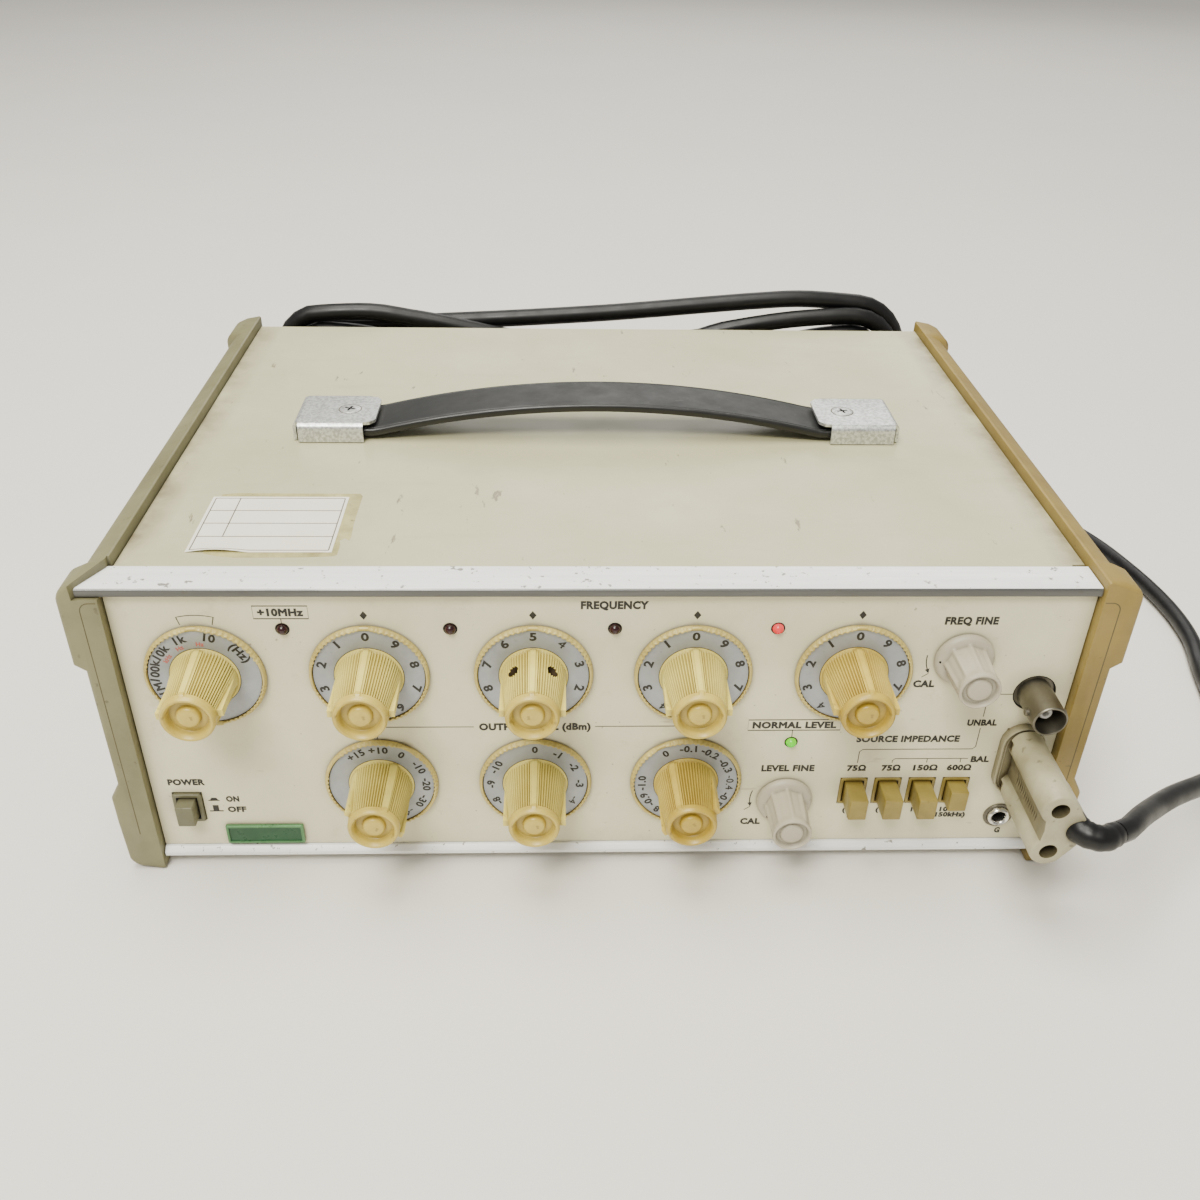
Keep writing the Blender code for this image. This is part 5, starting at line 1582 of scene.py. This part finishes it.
# The film's torn outline, as steps out from the paper's corners
FILM_FRONT_LEFT = ((5.0, -0.4), (9.0, -1.9), (14.0, -2.6))
FILM_FRONT_RIGHT = (
    (-8.0, -2.5), (0.4, -1.9), (1.6, -1.2), (1.7, 4.0), (1.1, 6.5), (2.4, 8.0), (3.6, 6.6), (4.0, 8.2),
    (3.6, 16.0),
)
FILM_BACK_RIGHT = ((3.8, 0.6), (3.0, 2.2))
FILM_BACK_LEFT = ((6.0, 2.4), (2.0, 1.6))


def label_lift(x, depth):
    """The paper's front edge has come off the cover on its left."""
    along = (x - LABEL_X[0]) / (LABEL_X[1] - LABEL_X[0])
    edge = max(0.0, 1.0 - (depth - LABEL_DEPTH[0]) / LIFT_DEPTH)
    bulge = math.sin(math.pi * min(1.0, along / LIFT_SHARE))
    return LIFT_HEIGHT * edge * edge * max(0.0, bulge)


def sheet(work, x, depth, height, thick, grid):
    """A thin closed sheet over the cover, following the label's lift, in a grid of cells."""
    across, along = grid
    layers = []
    for level in (height + thick, height):
        rows = []
        for k in range(along + 1):
            b = depth[0] + (depth[1] - depth[0]) * k / along
            xs = [x[0] + (x[1] - x[0]) * i / across for i in range(across + 1)]
            rows.append([work.verts.new(at(a, b, level + label_lift(a, b))) for a in xs])
        layers.append(rows)
    made = [
        work.faces.new((rows[k][i], rows[k][i + 1], rows[k + 1][i + 1], rows[k + 1][i]))
        for rows in layers for k in range(along) for i in range(across)
    ]
    rim = [(0, i) for i in range(across)] + [(k, across) for k in range(along)]
    rim += [(along, i) for i in range(across, 0, -1)] + [(k, 0) for k in range(along, 0, -1)]
    top, low = ([rows[k][i] for k, i in rim] for rows in layers)
    for i in range(len(rim)):
        made.append(work.faces.new((top[i - 1], top[i], low[i], low[i - 1])))
    bmesh.ops.recalc_face_normals(work, faces=made)


def make_label():
    """A blank ruled label, three rows with a heading column and one full row, under a torn clear film."""
    paper = bmesh.new()
    sheet(paper, LABEL_X, LABEL_DEPTH, COVER_TOP + 0.06, 0.1, LABEL_GRID)
    piece("cover_label", paper, "paper", sharp=40.0)
    x0, x1 = LABEL_X[0] + LABEL_MARGIN, LABEL_X[1] - LABEL_MARGIN
    d0, d1 = LABEL_DEPTH[0] + LABEL_MARGIN, LABEL_DEPTH[1] - LABEL_MARGIN
    rules = bmesh.new()
    top = COVER_TOP + 0.13
    row = (d1 - d0) / LABEL_ROWS
    for number in range(LABEL_ROWS + 1):
        sheet(rules, (x0, x1), around(d0 + row * number, RULE_HALF), top, 0.06, (LABEL_GRID[0], 1))
    for x, start in ((x0, d0), (x1, d0), (x0 + (x1 - x0) * LABEL_COLUMN, d0 + row)):
        sheet(rules, around(x, RULE_HALF), (start, d1), top, 0.06, (1, LABEL_GRID[1]))
    piece("cover_label_rules", rules, "rule", sharp=40.0)
    torn = []
    for steps, right, back in (
        (FILM_FRONT_LEFT, 0, 0), (FILM_FRONT_RIGHT, 1, 0), (FILM_BACK_RIGHT, 1, 1), (FILM_BACK_LEFT, 0, 1),
    ):
        torn += [(LABEL_X[right] + across, LABEL_DEPTH[back] + along) for across, along in steps]
    film = bmesh.new()
    prism(film, torn, (COVER_TOP + 0.01, COVER_TOP + 0.05), "xy")
    piece("cover_label_film", film, "tape")


make_label()


# ---- sockets, badge and covers

BNC_LUG = 8.6
GROUND_HOLE = 2.0
BADGE_RIM = 0.8
VENT_SLOTS = 9
VENT_PITCH = 6.0
VENT_START = -24.0
VENT_HEIGHTS = (44.0, 76.0)
BASE_VENT_START = -51.0
BASE_VENT_ROWS = (60.0, 130.0)
COVER_SCREW = 2.9
REAR_SCREWS = ((-122.0, 90.0), (0.0, 90.0), (122.0, 12.0), (-122.0, 12.0), (0.0, 12.0), (122.0, 90.0))
BASE_SCREWS = ((-118.0, 30.0), (118.0, 30.0), (-118.0, 170.0), (118.0, 170.0))
BASE_FACE = 3.7


def make_bnc():
    """The coaxial socket's barrel with its two lugs, and the pale insulator, its hole's floor and the
    barrel's floor painted near-black for their shade.
    """
    spot = facing(*middle("bnc_jack"))
    work = bmesh.new()
    lathe(work, [(0.0, 2.0), (4.15, 2.0), (4.15, 12.7), (4.25, 13.0), (4.6, 13.0), (4.8, 12.75), (4.8, -0.6),
                 (5.7, -0.6), (5.7, -9.0), (2.0, -9.0), (2.0, -14.0), (0.0, -14.0)], 72)
    for side in (-1, 1):
        lug = bmesh.new()
        lathe(lug, [(0.0, 5.7), (0.85, 5.7), (1.0, 5.5), (1.0, 4.5), (0.0, 4.5)], 20)
        sideways = Matrix.Rotation(side * math.pi / 2, 4, "Y")
        lug.transform(Matrix.Translation((0.0, 0.0, BNC_LUG * MM)) @ sideways)
        work = carve(work, [lug], "UNION")
    barrel = piece("coax_barrel", work, "nickel", spot, 35.0)
    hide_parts("bnc_jack")
    inner = bmesh.new()
    lathe(inner, [(0.0, 7.6), (0.85, 7.6), (0.85, 9.0), (1.0, 9.3), (1.65, 9.3), (1.9, 9.0), (1.95, 1.9),
                  (0.0, 1.9)])
    # A near-black disc at the bottom of the insulator's hole and a near-black ring on the barrel's floor:
    # painted shade.
    lathe(inner, [(0.0, 7.75), (0.8, 7.75), (0.8, 7.5), (0.0, 7.5)], 24, material=1)
    lathe(inner, [(2.25, 2.3), (4.1, 2.3), (4.1, 1.9), (2.25, 1.9)], closed=True, material=1)
    piece("coax_insulator", inner, ["insulator", "hollow"], spot, 40.0)
    gap = [(5.75, 0.0), (6.05, 0.0), (6.05, -1.6), (5.75, -1.6)]
    turned("coax_gap", gap, "hollow", spot, 64, closed=True)


def make_balanced_socket():
    """Two fine ridges round the flange that the plug stands on."""
    for name, reach, wall, front in (("outer", 6.15, 0.55, -2.75), ("inner", 5.15, 0.35, -2.6)):
        add_rim(f"socket_rim_{name}", BALANCED, (reach, reach + 6.2), wall, (front, -0.05), reach,
                "grey_plastic", "grey_plastic", 40.0)


def make_ground_jack():
    spot = facing(*middle("ground_jack"))
    hole = GROUND_HOLE
    profile = [(hole, 0.7), (hole + 0.1, 1.15), (hole + 0.45, 1.55), (2.8, 1.7), (3.15, 1.45), (3.35, 1.0),
               (3.4, 0.2), (3.4, -12.0), (0.0, -12.0), (0.0, -10.0), (hole, -10.0)]
    jack = turned("ground_terminal", profile, "contact", spot, 64, 35.0, closed=True)
    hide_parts("ground_jack")
    washer = bmesh.new()
    lathe(washer, [(3.45, 0.3), (3.6, 0.45), (4.3, 0.45), (4.45, 0.3), (4.45, -0.05), (3.45, -0.05)], 64,
          closed=True)
    # A near-black lining inside the hole: painted shade.
    lathe(washer, [(hole - 0.1, 0.3), (hole - 0.02, 0.3), (hole - 0.02, -9.0), (hole - 0.1, -9.0)], 32,
          closed=True, material=1)
    piece("ground_washer", washer, ["nickel", "hollow"], spot, 35.0)


def make_badge():
    """A blank plate with a bevelled rim."""
    x, _, z = node_box("badge")
    work = bmesh.new()
    hollow_frame(work, x, z, BADGE_RIM, (-1.2, -0.3), 0.4)
    field = box_outline((x[0] + BADGE_RIM, x[1] - BADGE_RIM), (z[0] + BADGE_RIM, z[1] - BADGE_RIM))
    prism(work, field, (-0.85, -0.3), material=1)
    plate = piece("badge_plate", work, ["badge_rim", "badge"], sharp=30.0)
    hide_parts("badge")


def make_vents():
    """Raised louvres over near-black slots, in the rear panel and in the bottom cover; the slots' darkness is
    painted shade for their openings.
    """
    rear = bmesh.new()
    for number in range(VENT_SLOTS):
        x = VENT_START + VENT_PITCH * number
        slot = rounded(around(x, 1.2), VENT_HEIGHTS, 1.1)
        # Each slot is a near-black sheet on the face: painted shade.
        prism(rear, slot, (REAR_FACE - 0.2, REAR_FACE + 0.06), material=1)
        hood = [(x - 2.0, 192.5), (x - 1.6, 193.3), (x - 0.6, 193.6), (x + 0.2, 193.2), (x - 0.4, 192.5)]
        prism(rear, hood, (VENT_HEIGHTS[0] + 0.5, VENT_HEIGHTS[1] - 0.5), "xy")
    base = bmesh.new()
    for row in BASE_VENT_ROWS:
        for number in range(2 * VENT_SLOTS):
            x = BASE_VENT_START + VENT_PITCH * number
            outline = rounded(around(x, 1.3), around(row, 14.0), 1.2)
            prism(base, outline, (BASE_FACE - 0.1, BASE_FACE + 0.2), "xy", 1)
    piece("rear_vents", rear, ["cover", "hollow"], sharp=40.0)
    piece("base_vents", base, ["cover", "hollow"], sharp=40.0)


def make_cover_screws():
    for number, (x, height) in enumerate(REAR_SCREWS):
        spot = turned_to((x, REAR_FACE, height), -90.0, "X")
        add_screw(f"rear_screw_{number}", COVER_SCREW, spot, "steel")
    for number, (x, depth) in enumerate(BASE_SCREWS):
        spot = turned_to((x, depth, BASE_FACE), 180.0, "X")
        add_screw(f"base_screw_{number}", COVER_SCREW, spot, "steel")


make_bnc()
make_balanced_socket()
make_ground_jack()
make_badge()
make_vents()
make_cover_screws()


# ---- CAD nodes kept as they are

# Finish, and how the names of its nodes begin; the first match counts, and leads have the rubber
NODE_FINISHES = {
    "case_left": "side_frame_left",
    "case_right": "side_frame_right",
    "panel": "front_panel",
    "trim": ("top_trim", "bottom_trim"),
    "cover": ("top_cover", "bottom_cover", "rear_panel"),
    "badge": "badge",
    "strap": "handle_strap",
    "zinc": ("handle_bracket", "freq_fine_pot", "level_fine_pot"),
    "nickel": ("bnc_jack", "ground_jack"),
    "grey_plastic": ("balanced_socket", "test_plug", "test_connector"),
    "black_plastic": ("power_switch", "impedance_switch_bank", "cord_bracket"),
    "laminate": ("led_board", "frequency_switch_board", "level_switch_board"),
    "board": "main_board",
    "steel": ("power_transformer", "shaft_"),
    "moulding": ("strain_relief", "mains_plug"),
    "power_button": "power_button",
    "button": "impedance_button",
    "small_knob": ("knob_freq_fine", "knob_level_fine"),
    "knob": "knob_",
    "rubber": "",
}


def paint_nodes():
    for name, node in NODES.items():
        finish = next(finish for finish, starts in NODE_FINISHES.items() if name.startswith(starts))
        for slot in node.material_slots:
            slot.material = M[finish]


paint_nodes()


# ---- floor and light

FLOOR_HALF = 6.0
FLOOR_DROP = 0.0005
SKY = (1.0, 0.985, 0.95, 1.0)
SKY_STRENGTH = 0.48
# Place, target, size, power and colour of each area light
LIGHTS = {
    "overhead": ((-0.2, 0.0, 1.6), (0.0, 0.0, 0.05), (1.1, 0.8), 30.0, (1.0, 0.98, 0.89)),
    "front": ((-0.4, -1.0, 1.5), (0.0, -0.05, 0.05), (0.7, 0.5), 36.0, (1.0, 0.98, 0.89)),
    "back": ((0.4, 1.8, 1.2), (0.0, 0.0, 0.1), (1.6, 1.0), 13.0, (1.0, 0.98, 0.93)),
}


def make_stage():
    floor = bpy.data.meshes.new("floor")
    side = around(0.0, FLOOR_HALF)
    floor.from_pydata([(x, y, 0.0) for x, y in box_outline(side, side)], [], [(0, 1, 2, 3)])
    floor.materials.append(worn("floor", srgb(232, 228, 220), srgb(226, 222, 213), 0.7, 3.0, 0.5, bump=0.02))
    obj = add_object("floor", floor)
    obj.location = (0.0, 0.0, -FLOOR_DROP)


def area_light(name, place, target, size, power, colour):
    data = bpy.data.lights.new(name, "AREA")
    data.shape = "RECTANGLE"
    data.size, data.size_y = size
    data.energy = power
    data.color = colour
    obj = add_object(name, data)
    obj.location = place
    obj.rotation_euler = (Vector(target) - Vector(place)).to_track_quat("-Z", "Y").to_euler()


def make_lights():
    world = bpy.data.worlds.new("studio")
    bpy.context.scene.world = world
    world.use_nodes = True
    background = world.node_tree.nodes["Background"]
    background.inputs["Color"].default_value = SKY
    background.inputs["Strength"].default_value = SKY_STRENGTH
    for name, values in LIGHTS.items():
        area_light(name, *values)


make_stage()
make_lights()
